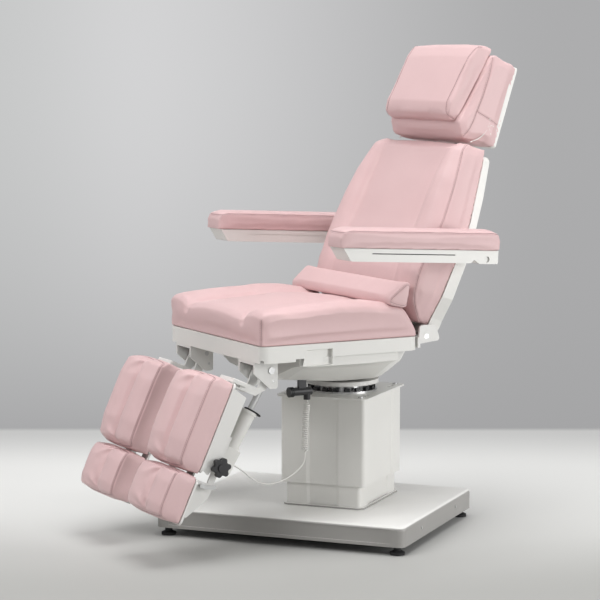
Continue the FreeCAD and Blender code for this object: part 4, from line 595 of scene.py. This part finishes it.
def sew(piece, body, seams, reach=0.0045, depth=0.0016, set_off=0.004):
    """Seams along lines on the cover: each is drawn in, with its join's thread in the groove and a
    row of stitches beside it."""
    vertices = []
    faces = []
    cover = cover_of(piece)
    for places in seams:
        line, outward = laid_on(cover, places)
        draw_in(piece, line, outward, reach, depth)
        low = line - outward * (depth - thread_radius)
        raised = line + outward * stitch_radius * 0.2 - outward * depth * 0.1
        beside, beside_faces = stitch_row(raised, outward, set_off)
        offset = len(vertices)
        vertices += beside
        faces += [tuple(offset + corner for corner in face) for face in beside_faces]
        thread = bpy.data.curves.new("thread", "CURVE")
        thread.dimensions = "3D"
        spline = thread.splines.new("POLY")
        spline.points.add(len(low) - 1)
        for point, place in zip(spline.points, low):
            point.co = (*place, 1.0)
        thread_object = bpy.data.objects.new("thread", thread)
        scene.collection.objects.link(thread_object)
        tube = tube_mesh(thread_object, thread_radius)
        offset = len(vertices)
        vertices += [vertex.co.copy() for vertex in tube.vertices]
        faces += [tuple(offset + corner for corner in face.vertices) for face in tube.polygons]
        bpy.data.meshes.remove(tube)
    mesh = bpy.data.meshes.new(piece.name + "_seams")
    mesh.from_pydata(vertices, [], faces)
    mesh.materials.append(thread_finish)
    for face in mesh.polygons:
        face.use_smooth = True
    threads = bpy.data.objects.new(piece.name + "_seams", mesh)
    scene.collection.objects.link(threads)
    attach(threads, body)


def gather(piece, centre, ahead, outward, reach, folds, depth):
    """Folds that fan out from a gathered spot of the cover, for the side that 'ahead' points to."""
    places = read_vectors(piece.data.vertices, "co", 3)
    centre, ahead, outward = (np.array(vector) for vector in (centre, ahead, outward))
    across = np.cross(outward, ahead)
    away = places - centre
    radius = np.linalg.norm(away, axis=1)
    angle = np.arctan2(away @ across, away @ ahead)
    fan = np.cos(angle * folds) * smooth_step(np.cos(angle), -0.2, 0.5)
    fade = smooth_step(radius, 0.004, 0.018) * (1 - smooth_step(radius, reach * 0.3, reach))
    facing = np.clip(read_vectors(piece.data.vertices, "normal", 3) @ outward, 0, 1)
    set_places(piece.data, places + outward * (fan * fade * facing * depth)[:, None])


def crumple(piece, depth, size, seed_place, facing):
    """Faint uneven dents of a cover that has been used, on the side that faces the sitter."""
    mesh = piece.data
    places = read_vectors(mesh.vertices, "co", 3)
    normals = read_vectors(mesh.vertices, "normal", 3)
    lift = np.array([noise.noise(Vector(place) / size + seed_place) for place in places])
    share = smooth_step(normals @ np.array(facing), 0.2, 0.7)
    set_places(mesh, places + normals * (lift * share * depth)[:, None])


# Seat cushion: two side bolsters and a middle panel, drawn in along two sewn valleys that start as
# deep notches at the front edge, and a boxed front whose corners are joined upright.
seat_front = -0.433
seat_half = 0.3
seat_low = 0.608
valley_side = 0.182
seat_valleys = [[chair_place(side * valley_side, seat_front + run, rise) for run, rise in (
    (0.004, 0.672), (0.03, 0.684), (0.12, 0.692), (0.25, 0.696))] for side in (1, -1)]
seat_cushion = upholster("seat_cushion", "seat", (0, 0, -1), voxel=0.006,
                         sewn=[place for valley in seat_valleys for place in valley])
for valley, side in zip(seat_valleys, (1, -1)):
    line, outward = laid_on(cover_of(seat_cushion), valley)
    draw_in(seat_cushion, line, outward, 0.02, 0.005)
    gather(seat_cushion, chair_place(side * valley_side, seat_front + 0.004, 0.676), (0, 1, 0), (0, 0, 1),
           0.09, 5, 0.0022)
crumple(seat_cushion, 0.0012, 0.07, Vector((3, 1, 4)), (0, 0, 1))
sew(seat_cushion, "seat", [[chair_place(side * (seat_half - 0.003), seat_front + 0.003, seat_low + rise)
                            for rise in (0.004, 0.03, 0.06, 0.078)] for side in (1, -1)])


# Lumbar wedge: a small loose cushion that lies in the corner of seat and back, with a seam round
# each three-cornered end.
wedge_half = 0.302
wedge_heel = chair_place(0, 0.060, 0.698)
wedge_slope = 0.22
wedge_reach = 1.1
wedge_rise = 1.12
wedge_sink = 0.003


def filled_wedge(places):
    """The stuffed cover reaches a little further forward and up than its flat-sided form, and its
    underside stays on the seat."""
    ahead = wedge_heel.y - places[:, 1]
    above = places[:, 2] - wedge_heel.z - ahead * wedge_slope
    sunk = wedge_sink * (1 - smooth_step(above, 0, 0.01))
    filled = places.copy()
    filled[:, 1] = wedge_heel.y - ahead * wedge_reach
    filled[:, 2] = wedge_heel.z + ahead * wedge_reach * wedge_slope + above * wedge_rise - sunk
    return filled


lumbar_wedge = upholster("lumbar_cushion", "seat", (0, 0.5, -0.866), rounding=3, cap=0.003,
                         shape=filled_wedge)
wedge_corners = [(-0.012, 0.716), (0.020, 0.703), (0.050, 0.701), (0.058, 0.735), (0.056, 0.769),
                 (0.028, 0.748), (-0.008, 0.722)]
crumple(lumbar_wedge, 0.001, 0.05, Vector((7, 2, 5)), (0, -0.7, 0.7))
sew(lumbar_wedge, "seat", [[chair_place(side * (wedge_half - 0.001), y, z) for y, z in wedge_corners]
                           for side in (1, -1)], set_off=-0.004)


# Back cushion: a middle panel between two long side bolsters, with boxed sides that are sewn on
# along the bolsters' edges.
back_hinge = chair_place(0, 0.118, 0.6065)
back_lean = math.radians(18)
back_outward = Vector((0, -math.cos(back_lean), math.sin(back_lean)))
back_upward = Vector((0, math.sin(back_lean), math.cos(back_lean)))


def back_place(x, out, up):
    return back_hinge + Vector((x, 0, 0)) + back_outward * out + back_upward * up


back_edge = [(0.266, 0.010, 0.030), (0.281, 0.0354, 0.0453), (0.2873, 0.0659, 0.0804),
             (0.2949, 0.0806, 0.1189), (0.296, 0.083, 0.1698), (0.296, 0.0708, 0.2434),
             (0.2943, 0.0513, 0.326), (0.2809, 0.0409, 0.3962), (0.2676, 0.0318, 0.4664),
             (0.2512, 0.0232, 0.549), (0.2465, 0.0208, 0.566), (0.237, 0.004, 0.586)]
shell_rim_up = (0.0283, 0.3622, 0.566)
shell_rim_out = (-0.0031, -0.0471, -0.0570)
back_spread = 1.008
rim_press = 0.003


def on_back(places):
    """Height along the back and distance out from it."""
    away = places - np.array(back_hinge)
    return away @ np.array(back_upward), away @ np.array(back_outward)


def pressed_on_shell(places):
    """The cushion's edge is pressed on the shell's rim, so that no gap shows beside it."""
    up, out = on_back(places)
    lift = out - np.interp(up, shell_rim_up, shell_rim_out)
    pressed = places - np.outer(rim_press * (1 - smooth_step(lift, 0.0, 0.02)), np.array(back_outward))
    pressed[:, 0] = back_hinge.x + (pressed[:, 0] - back_hinge.x) * back_spread
    return pressed


back_cushion = upholster("back_cushion", "back", -back_outward, voxel=0.006, shape=pressed_on_shell)
crumple(back_cushion, 0.0015, 0.09, Vector((1, 8, 2)), back_outward)
sew(back_cushion, "back", [[back_place(side * x, out, up) for x, out, up in back_edge] for side in (1, -1)])


# Headrest: a padded block drawn over its shell's rim, whose lower lip sags under the pillow, a sewn
# strap round its lower end, a pillow with boxed ends, and the elastic that holds the pillow on: an
# arc up each side of the block to a small knot with three loose tails.
head_low = 0.6
head_half = 0.1917
cover_half = 0.1995
shell_rear = -0.114
lip_sag = 0.012
end_stretch = 0.005


def head_cover(places):
    """The block's cover is drawn over the rim of its shell, and the lip that carries the pillow
    hangs lower in the middle than at its ends."""
    up, out = on_back(places)
    across = places[:, 0] - back_hinge.x
    sag = np.clip(1 - (across / (head_half * 0.9)) ** 4, 0, 1) * smooth_step(out, 0.0, 0.03)
    sag *= smooth_step(up, head_low - 0.004, head_low + 0.03)
    sag *= 1 - smooth_step(up, head_low + 0.05, head_low + 0.09)
    rear = 1 - smooth_step(out, shell_rear + 0.012, shell_rear + 0.045)
    top_end = smooth_step(up, head_low + 0.2, head_low + 0.27)
    low_end = 1 - smooth_step(up, head_low, head_low + 0.04)
    moved = places.copy()
    moved[:, 0] = back_hinge.x + across * cover_half / head_half
    return moved + np.outer(rear * (top_end - low_end) * end_stretch - sag * lip_sag, np.array(back_upward))


def stand(name, made, material, body):
    """A piece of its own from the edited mesh and the body that it rides."""
    mesh = bpy.data.meshes.new(name)
    made.to_mesh(mesh)
    made.free()
    mesh.materials.append(material)
    piece = bpy.data.objects.new(name, mesh)
    scene.collection.objects.link(piece)
    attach(piece, body)


head_block = upholster("head_block", "head", -back_outward, shape=head_cover)
crumple(head_block, 0.001, 0.06, Vector((2, 6, 9)), back_outward)
block_front = [(-0.020, 0.866), (-0.029, 0.825), (-0.024, 0.745), (-0.018, 0.702),
               (-0.013, 0.656), (-0.006, 0.625), (0.004, 0.606)]
strap_line = [(-0.018, 0.6905), (-0.045, 0.686), (-0.074, 0.681), (-0.104, 0.675)]
sew(head_block, "head", [[back_place(side * cover_half, out, up) for out, up in line]
                         for side in (1, -1) for line in (block_front, strap_line)], set_off=-0.004)
head_pillow = upholster("head_pillow", "head", -back_outward, rounding=6, cap=0.005)
crumple(head_pillow, 0.0015, 0.08, Vector((5, 3, 3)), back_outward)
pillow_edge = [(0.188, 0.012, 0.890), (0.186, 0.036, 0.888), (0.176, 0.056, 0.876),
               (0.172, 0.064, 0.80), (0.167, 0.074, 0.72), (0.166, 0.078, 0.68),
               (0.172, 0.074, 0.656), (0.184, 0.056, 0.645), (0.188, 0.040, 0.642)]
sew(head_pillow, "head", [[back_place(side * x, out, up) for x, out, up in pillow_edge] for side in (1, -1)])
knot_out = -0.072
knot_up = 0.661
elastic_radius = 0.0014
elastic_lift = 0.003
elastic_cross = 0.0012
knot_lines = [
    [(0.0, -0.004), (0.005, 0.0), (0.001, 0.005), (-0.004, 0.001), (0.0, -0.005), (0.004, -0.001)],
    [(0.0, -0.003), (0.004, -0.013), (0.014, -0.034), (0.028, -0.049), (0.042, -0.058), (0.05, -0.064)],
    [(0.0, 0.0), (0.004, 0.008), (0.001, 0.016), (0.005, 0.024)],
    [(0.0, 0.0), (-0.006, 0.006), (-0.013, 0.008), (-0.016, 0.003)],
    [(0.0, 0.0), (-0.004, -0.008), (-0.010, -0.014), (-0.013, -0.022)]]
elastic_finish = Finish("elastic_white", Roughness=0.65)
weave = elastic_finish.node("ShaderNodeTexWave", {}, {"Vector": elastic_finish.place, "Scale": 420.0},
                            output="Fac")
elastic_finish.feed("Base Color", elastic_finish.mix(weave, paint(214, 210, 206), paint(238, 236, 232)))
nodes["pillow_elastic"].data.materials.clear()
nodes["pillow_elastic"].data.materials.append(elastic_finish.material)
for side, sign in sides.items():
    knot = bmesh.new()
    for line in knot_lines:
        bends = [back_place(sign * (cover_half + elastic_lift + elastic_cross * (number % 2)),
                            knot_out + out, knot_up + up) for number, (out, up) in enumerate(line)]
        mesh = tube_mesh(smooth_curve("knot_line", bends), elastic_radius)
        knot.from_mesh(mesh)
        bpy.data.meshes.remove(mesh)
    stand("elastic_knot_" + side, knot, elastic_finish.material, "head")


# Arm pads: long boxed cushions on the arm shells, with a seam all round the edge of the top panel.
arm_pivot = chair_place(0, 0.24337, 0.83702)
arm_rise = math.radians(3.3)
arm_forward = Vector((0, -math.cos(arm_rise), math.sin(arm_rise)))
arm_upward = Vector((0, math.sin(arm_rise), math.cos(arm_rise)))
arm_set_back = 0.028


def arm_place(x, ahead, up):
    return arm_pivot + Vector((x, 0, 0)) + arm_forward * (ahead - arm_set_back) + arm_upward * up


arm_middle = 0.382
arm_half = 0.045
arm_front = 0.519
arm_seam = [(1, 0.0, 0.0765), (1, 0.25, 0.0765), (1, 0.495, 0.0755), (0.9, 0.514, 0.073),
            (0.45, arm_front, 0.072), (-0.45, arm_front, 0.072), (-0.9, 0.514, 0.073),
            (-1, 0.495, 0.0755), (-1, 0.25, 0.0765), (-1, 0.0, 0.0765), (-0.9, -0.013, 0.074),
            (-0.45, -0.018, 0.073), (0.45, -0.018, 0.073), (0.9, -0.013, 0.074), (1, 0.0, 0.0765)]
for side, sign in sides.items():
    pad = upholster("arm_pad_" + side, "arm_" + side, -arm_upward, voxel=0.0045, cap=0.002)
    crumple(pad, 0.0008, 0.06, Vector((4, sign, 2)), arm_upward)
    sew(pad, "arm_" + side, [[arm_place(sign * arm_middle + across * arm_half, ahead, up)
                              for across, ahead, up in arm_seam]], reach=0.004, depth=0.0012)


# Calf and foot cushions of the leg rests: two lobes with a valley between them, gathered where the
# valley meets the ends, and a front panel sewn on along its whole edge.
leg_hinge = chair_place(0, -0.377, 0.534)
leg_hang = math.radians(24.6)
leg_outward = Vector((0, -math.cos(leg_hang), math.sin(leg_hang)))
leg_downward = Vector((0, -math.sin(leg_hang), -math.cos(leg_hang)))


def leg_place(x, out, along):
    return leg_hinge + Vector((x, 0, 0)) + leg_outward * out + leg_downward * along


pad_middle = 0.1685
pad_half = 0.1115
pad_seam = 0.1784
pad_gap_fill = 0.0065
pad_end_soft = 0.05
pads = {"calf_cushion_": ("leg_", 0.076, 0.345), "foot_cushion_": ("foot_", 0.365, 0.502)}
for side, sign in sides.items():
    for name, (body, start, end) in pads.items():
        is_calf = name == "calf_cushion_"

        def drawn_together(places, start=start, end=end, is_calf=is_calf):
            """The calf and foot cushions' stuffed ends swell towards each other and nearly meet."""
            along = (places - np.array(leg_hinge)) @ np.array(leg_downward)
            if is_calf:
                share = smooth_step(along, end - pad_end_soft, end)
            else:
                share = -smooth_step(-along, -start - pad_end_soft, -start)
            return places + np.outer(share * pad_gap_fill, np.array(leg_downward))

        top = start if is_calf else start - pad_gap_fill
        foot = end + pad_gap_fill if is_calf else end
        middle = (top + foot) / 2
        valley = [leg_place(sign * pad_middle, pad_seam, along)
                  for along in np.linspace(top + 0.01, foot - 0.01, 5)]
        pad = upholster(name + side, body + side, -leg_outward, cap=0.003, sewn=valley,
                        shape=drawn_together)
        line, outward = laid_on(cover_of(pad), valley)
        draw_in(pad, line, outward, 0.024, 0.004)
        for along, ahead in ((top + 0.006, leg_downward), (foot - 0.006, -leg_downward)):
            gather(pad, leg_place(sign * pad_middle, pad_seam - 0.006, along), ahead, leg_outward,
                   min(0.085, (end - start) * 0.55), 7, 0.003)
        crumple(pad, 0.0012, 0.06, Vector((6, sign, start * 10)), leg_outward)
        lower = [(1, foot - 0.03, 0.001), (0.99, foot - 0.012, 0.006), (0.95, foot - 0.002, 0.016),
                 (0.55, foot - 0.001, 0.012), (0.1, foot - 0.001, 0.028)]
        upper = [(across, top + foot - along, drop) for across, along, drop in lower]
        first_side = [(1, top + 0.045, 0.001), (1, middle, 0.0)]
        other_lower = [(-across, along, drop) for across, along, drop in reversed(lower)]
        other_upper = [(-across, along, drop) for across, along, drop in upper]
        round_panel = (first_side + lower + other_lower + [(-1, middle, 0.0)] + other_upper
                       + upper[::-1] + first_side[:1])
        sew(pad, body + side, [[leg_place(sign * (pad_middle + across * pad_half), pad_seam - drop, along)
                                for across, along, drop in round_panel]], set_off=-0.004 * sign)


# White parts: powder-coated steel and satin moulded covers, with a faint orange peel.
def white_cover(name, colour, roughness, peel):
    coat = Finish(name, Roughness=roughness)
    dust = coat.noise(coat.place, 9.0, 5.0)
    darker = tuple(part * 0.94 for part in colour[:3]) + (1.0,)
    coat.feed("Base Color", coat.mix(dust, darker, colour))
    coat.feed("Roughness", roughness + dust * 0.1 - 0.05)
    coat.feed("Normal", coat.node("ShaderNodeBump", {}, {
        "Strength": peel, "Distance": 0.0002, "Height": coat.noise(coat.place, 420.0, 2.0)}))
    return coat.material


def dress(material, *names):
    for name in names:
        slots = nodes[name].data.materials
        slots.clear()
        slots.append(material)


moulded_white = white_cover("moulded_white", paint(228, 227, 223), 0.38, 0.12)
powder_white = white_cover("powder_white", paint(226, 225, 222), 0.34, 0.22)
dress(moulded_white, "lower_column_shell", "upper_column_shell", "seat_tray", "seat_pan",
      "back_shell", "head_shell", "back_drive_tube")
dress(powder_white, "column_top_plate", "leg_brackets", "back_hinge_brackets", "back_frame",
      "swivel_ring_upper")


# Base cover with painted light and shade: a brighter white on its top, which lies in the chair's
# shadow, and painted shade of grey round its sides.
base_finish = Finish("base_cover_painted_light_and_shade", Roughness=0.42)
facing_up = base_finish.node("ShaderNodeSeparateXYZ", {}, {0: base_finish.node(
    "ShaderNodeTexCoord", output="Normal")}, output="Z")
base_dust = base_finish.noise(base_finish.place, 9.0, 5.0)
painted_shade_side_tone = base_finish.mix(base_dust, paint(150, 148, 145), paint(160, 158, 155))
painted_light_top_tone = base_finish.mix(base_dust, paint(238, 237, 234), paint(248, 247, 244))
# Faces that point up get the painted light of the top, the sides get the painted shade.
painted_light_share = eased(base_finish, facing_up, 0.45, 0.75)
base_finish.feed("Base Color", base_finish.mix(painted_light_share, painted_shade_side_tone, painted_light_top_tone))
base_finish.feed("Normal", base_finish.node("ShaderNodeBump", {}, {
    "Strength": 0.15, "Distance": 0.0002, "Height": base_finish.noise(base_finish.place, 420.0, 2.0)}))
dress(base_finish.material, "base_cover")


# Metal parts: brushed steel strips, pins and rods, and dark painted steel inside the chair.
def steel(name, colour, roughness, metallic):
    metal = Finish(name, Metallic=metallic, Roughness=roughness)
    stretched = metal.node("ShaderNodeMapping", {}, {"Vector": metal.place, "Scale": (900.0, 40.0, 40.0)})
    brush = metal.noise(stretched, 1.0, 3.0)
    bright = tuple(min(1.0, part * 1.12) for part in colour[:3]) + (1.0,)
    metal.feed("Base Color", metal.mix(brush, colour, bright))
    metal.feed("Roughness", roughness + brush * 0.14 - 0.07)
    metal.feed("Normal", metal.node("ShaderNodeBump", {}, {
        "Strength": 0.12, "Distance": 0.0001, "Height": brush}))
    return metal.material


bright_steel = steel("bright_steel", paint(196, 196, 196), 0.3, 1.0)
dark_steel = steel("dark_steel", paint(62, 62, 64), 0.45, 0.6)
dress(bright_steel, "base_cover_screws", "lift_guide", "top_plate_screws", "lift_mast", "lift_push_rod",
      "swivel_ring_lower", "hinge_pins", "back_drive_rod", "head_rods")
dress(dark_steel, "base_chassis", "lift_motor", "seat_frame")


# Black parts: moulded knobs, plug housings and rubber feet, and black liners that stand as painted
# shade inside the leg brackets' sockets.
def black_part(name, colour, roughness):
    black = Finish(name, Roughness=roughness)
    spark = black.noise(black.place, 800.0, 2.0)
    worn = tuple(part * 1.8 for part in colour[:3]) + (1.0,)
    black.feed("Base Color", black.mix(spark, colour, worn))
    black.feed("Normal", black.node("ShaderNodeBump", {}, {
        "Strength": 0.3, "Distance": 0.0002, "Height": spark}))
    return black.material


black_plastic = black_part("black_plastic", paint(30, 30, 32), 0.42)
black_rubber = black_part("black_rubber", paint(24, 24, 25), 0.75)
# The socket liners are black sheets of painted shade in the leg brackets' sockets.
dress(black_plastic, "swivel_blocks", "socket_liners", "control_box", "cable_connector",
      "cable_strain_relief")
dress(black_rubber, "levelling_feet")
for side in sides:
    dress(powder_white, "leg_frame_" + side, "foot_frame_" + side)
    dress(moulded_white, "arm_shell_" + side, "leg_drive_tube_" + side)
    dress(bright_steel, "leg_drive_rod_" + side, "foot_lever_" + side)
    dress(black_plastic, "foot_knob_" + side)


# Trim: white linings of the pockets in the seat tray, a black strip in each arm shell's groove, a
# white cover on each leg's fork, and the black seal of each leg drive.
pocket_front = -0.289
pocket_rear = -0.201
pocket_low = 0.5456
pocket_high = 0.5916
pocket_lean = 0.0092
pocket_depth = 0.013
pocket_slope = 0.01
pocket_edge = 0.002
lining_wall = 0.0015
tray_half = 0.2996
strip_side = 0.4214
strip_half = 0.0008
fork_middle = 0.207
drive_tail = (0.0114, 0.306)
drive_head = (-0.3566, 0.4929)
seal_radius = 0.0268
seal_width = 0.0035
seal_gap = 0.0002


def pocket_lining(side_sign):
    """A thin tub that is open to the side, whose floor slopes up to the rim at its front end."""
    leaned = pocket_front - pocket_lean
    corners = [(0, leaned, pocket_low), (0, pocket_rear, pocket_low),
               (0, pocket_rear, pocket_high), (0, pocket_front, pocket_high),
               (pocket_edge, leaned + pocket_slope, pocket_low + pocket_edge),
               (pocket_depth, pocket_rear - pocket_edge / 2, pocket_low + pocket_edge),
               (pocket_depth, pocket_rear - pocket_edge / 2, pocket_high - pocket_edge),
               (pocket_edge, pocket_front + pocket_slope, pocket_high - pocket_edge)]
    lining = bmesh.new()
    inside, outside = ([lining.verts.new(chair_place(side_sign * (tray_half - depth - skin), y, z))
                        for depth, y, z in corners] for skin in (0, lining_wall))
    for face in ((0, 1, 5, 4), (1, 2, 6, 5), (2, 3, 7, 6), (3, 0, 4, 7), (4, 5, 6, 7)):
        lining.faces.new([inside[number] for number in face])
        lining.faces.new([outside[number] for number in reversed(face)])
    for here in range(4):
        there = (here + 1) % 4
        lining.faces.new((inside[there], inside[here], outside[here], outside[there]))
    bmesh.ops.recalc_face_normals(lining, faces=lining.faces)
    return lining


def block_between(place, low, high, bevel):
    """A small block between two corners of a frame of its own, with rounded edges."""
    block = bmesh.new()
    bmesh.ops.create_cube(block, size=1.0)
    size = Vector(high) - Vector(low)
    block.transform(Matrix.Translation((Vector(low) + Vector(high)) / 2) @ Matrix.Diagonal((*size, 1)))
    bmesh.ops.bevel(block, geom=block.edges[:], offset=bevel, segments=2, profile=0.5, affect="EDGES")
    for vertex in block.verts:
        vertex.co = place(*vertex.co)
    bmesh.ops.recalc_face_normals(block, faces=block.faces)
    return block


def drive_seal(tube, tail, axis):
    """A flat rubber ring on the end of a drive's tube, which its rod comes out of."""
    tube_end = max((vertex.co - tail).dot(axis) for vertex in tube.vertices)
    seal = bmesh.new()
    bmesh.ops.create_cone(seal, cap_ends=True, segments=40, radius1=seal_radius, radius2=seal_radius,
                          depth=seal_width)
    rims = [edge for edge in seal.edges if len(edge.link_faces) == 2 and edge.calc_face_angle(0) > 1]
    bmesh.ops.bevel(seal, geom=rims, offset=0.0008, segments=2, affect="EDGES")
    seal.transform(Matrix.Translation(tail + axis * (tube_end + seal_width / 2 + seal_gap))
                   @ axis.to_track_quat("Z", "Y").to_matrix().to_4x4())
    return seal


for side, sign in sides.items():
    stand("tray_pocket_" + side, pocket_lining(sign), moulded_white, "seat")
    strip = block_between(arm_place, (sign * strip_side - strip_half, 0.139, 0.0103),
                          (sign * strip_side + strip_half, 0.414, 0.0127), 0.0004)
    stand("arm_strip_" + side, strip, black_rubber, "arm_" + side)
    fork = sign * fork_middle
    cover = block_between(leg_place, (fork - 0.044, 0.052, 0.0605), (fork + 0.044, 0.099, 0.0745), 0.003)
    stand("fork_cover_" + side, cover, powder_white, "leg_" + side)
    tail = leg_place(fork, *drive_tail)
    axis = (chair_place(fork, *drive_head) - tail).normalized()
    seal = drive_seal(nodes["leg_drive_tube_" + side].data, tail, axis)
    stand("drive_seal_" + side, seal, black_rubber, "leg_ram_tube_" + side)
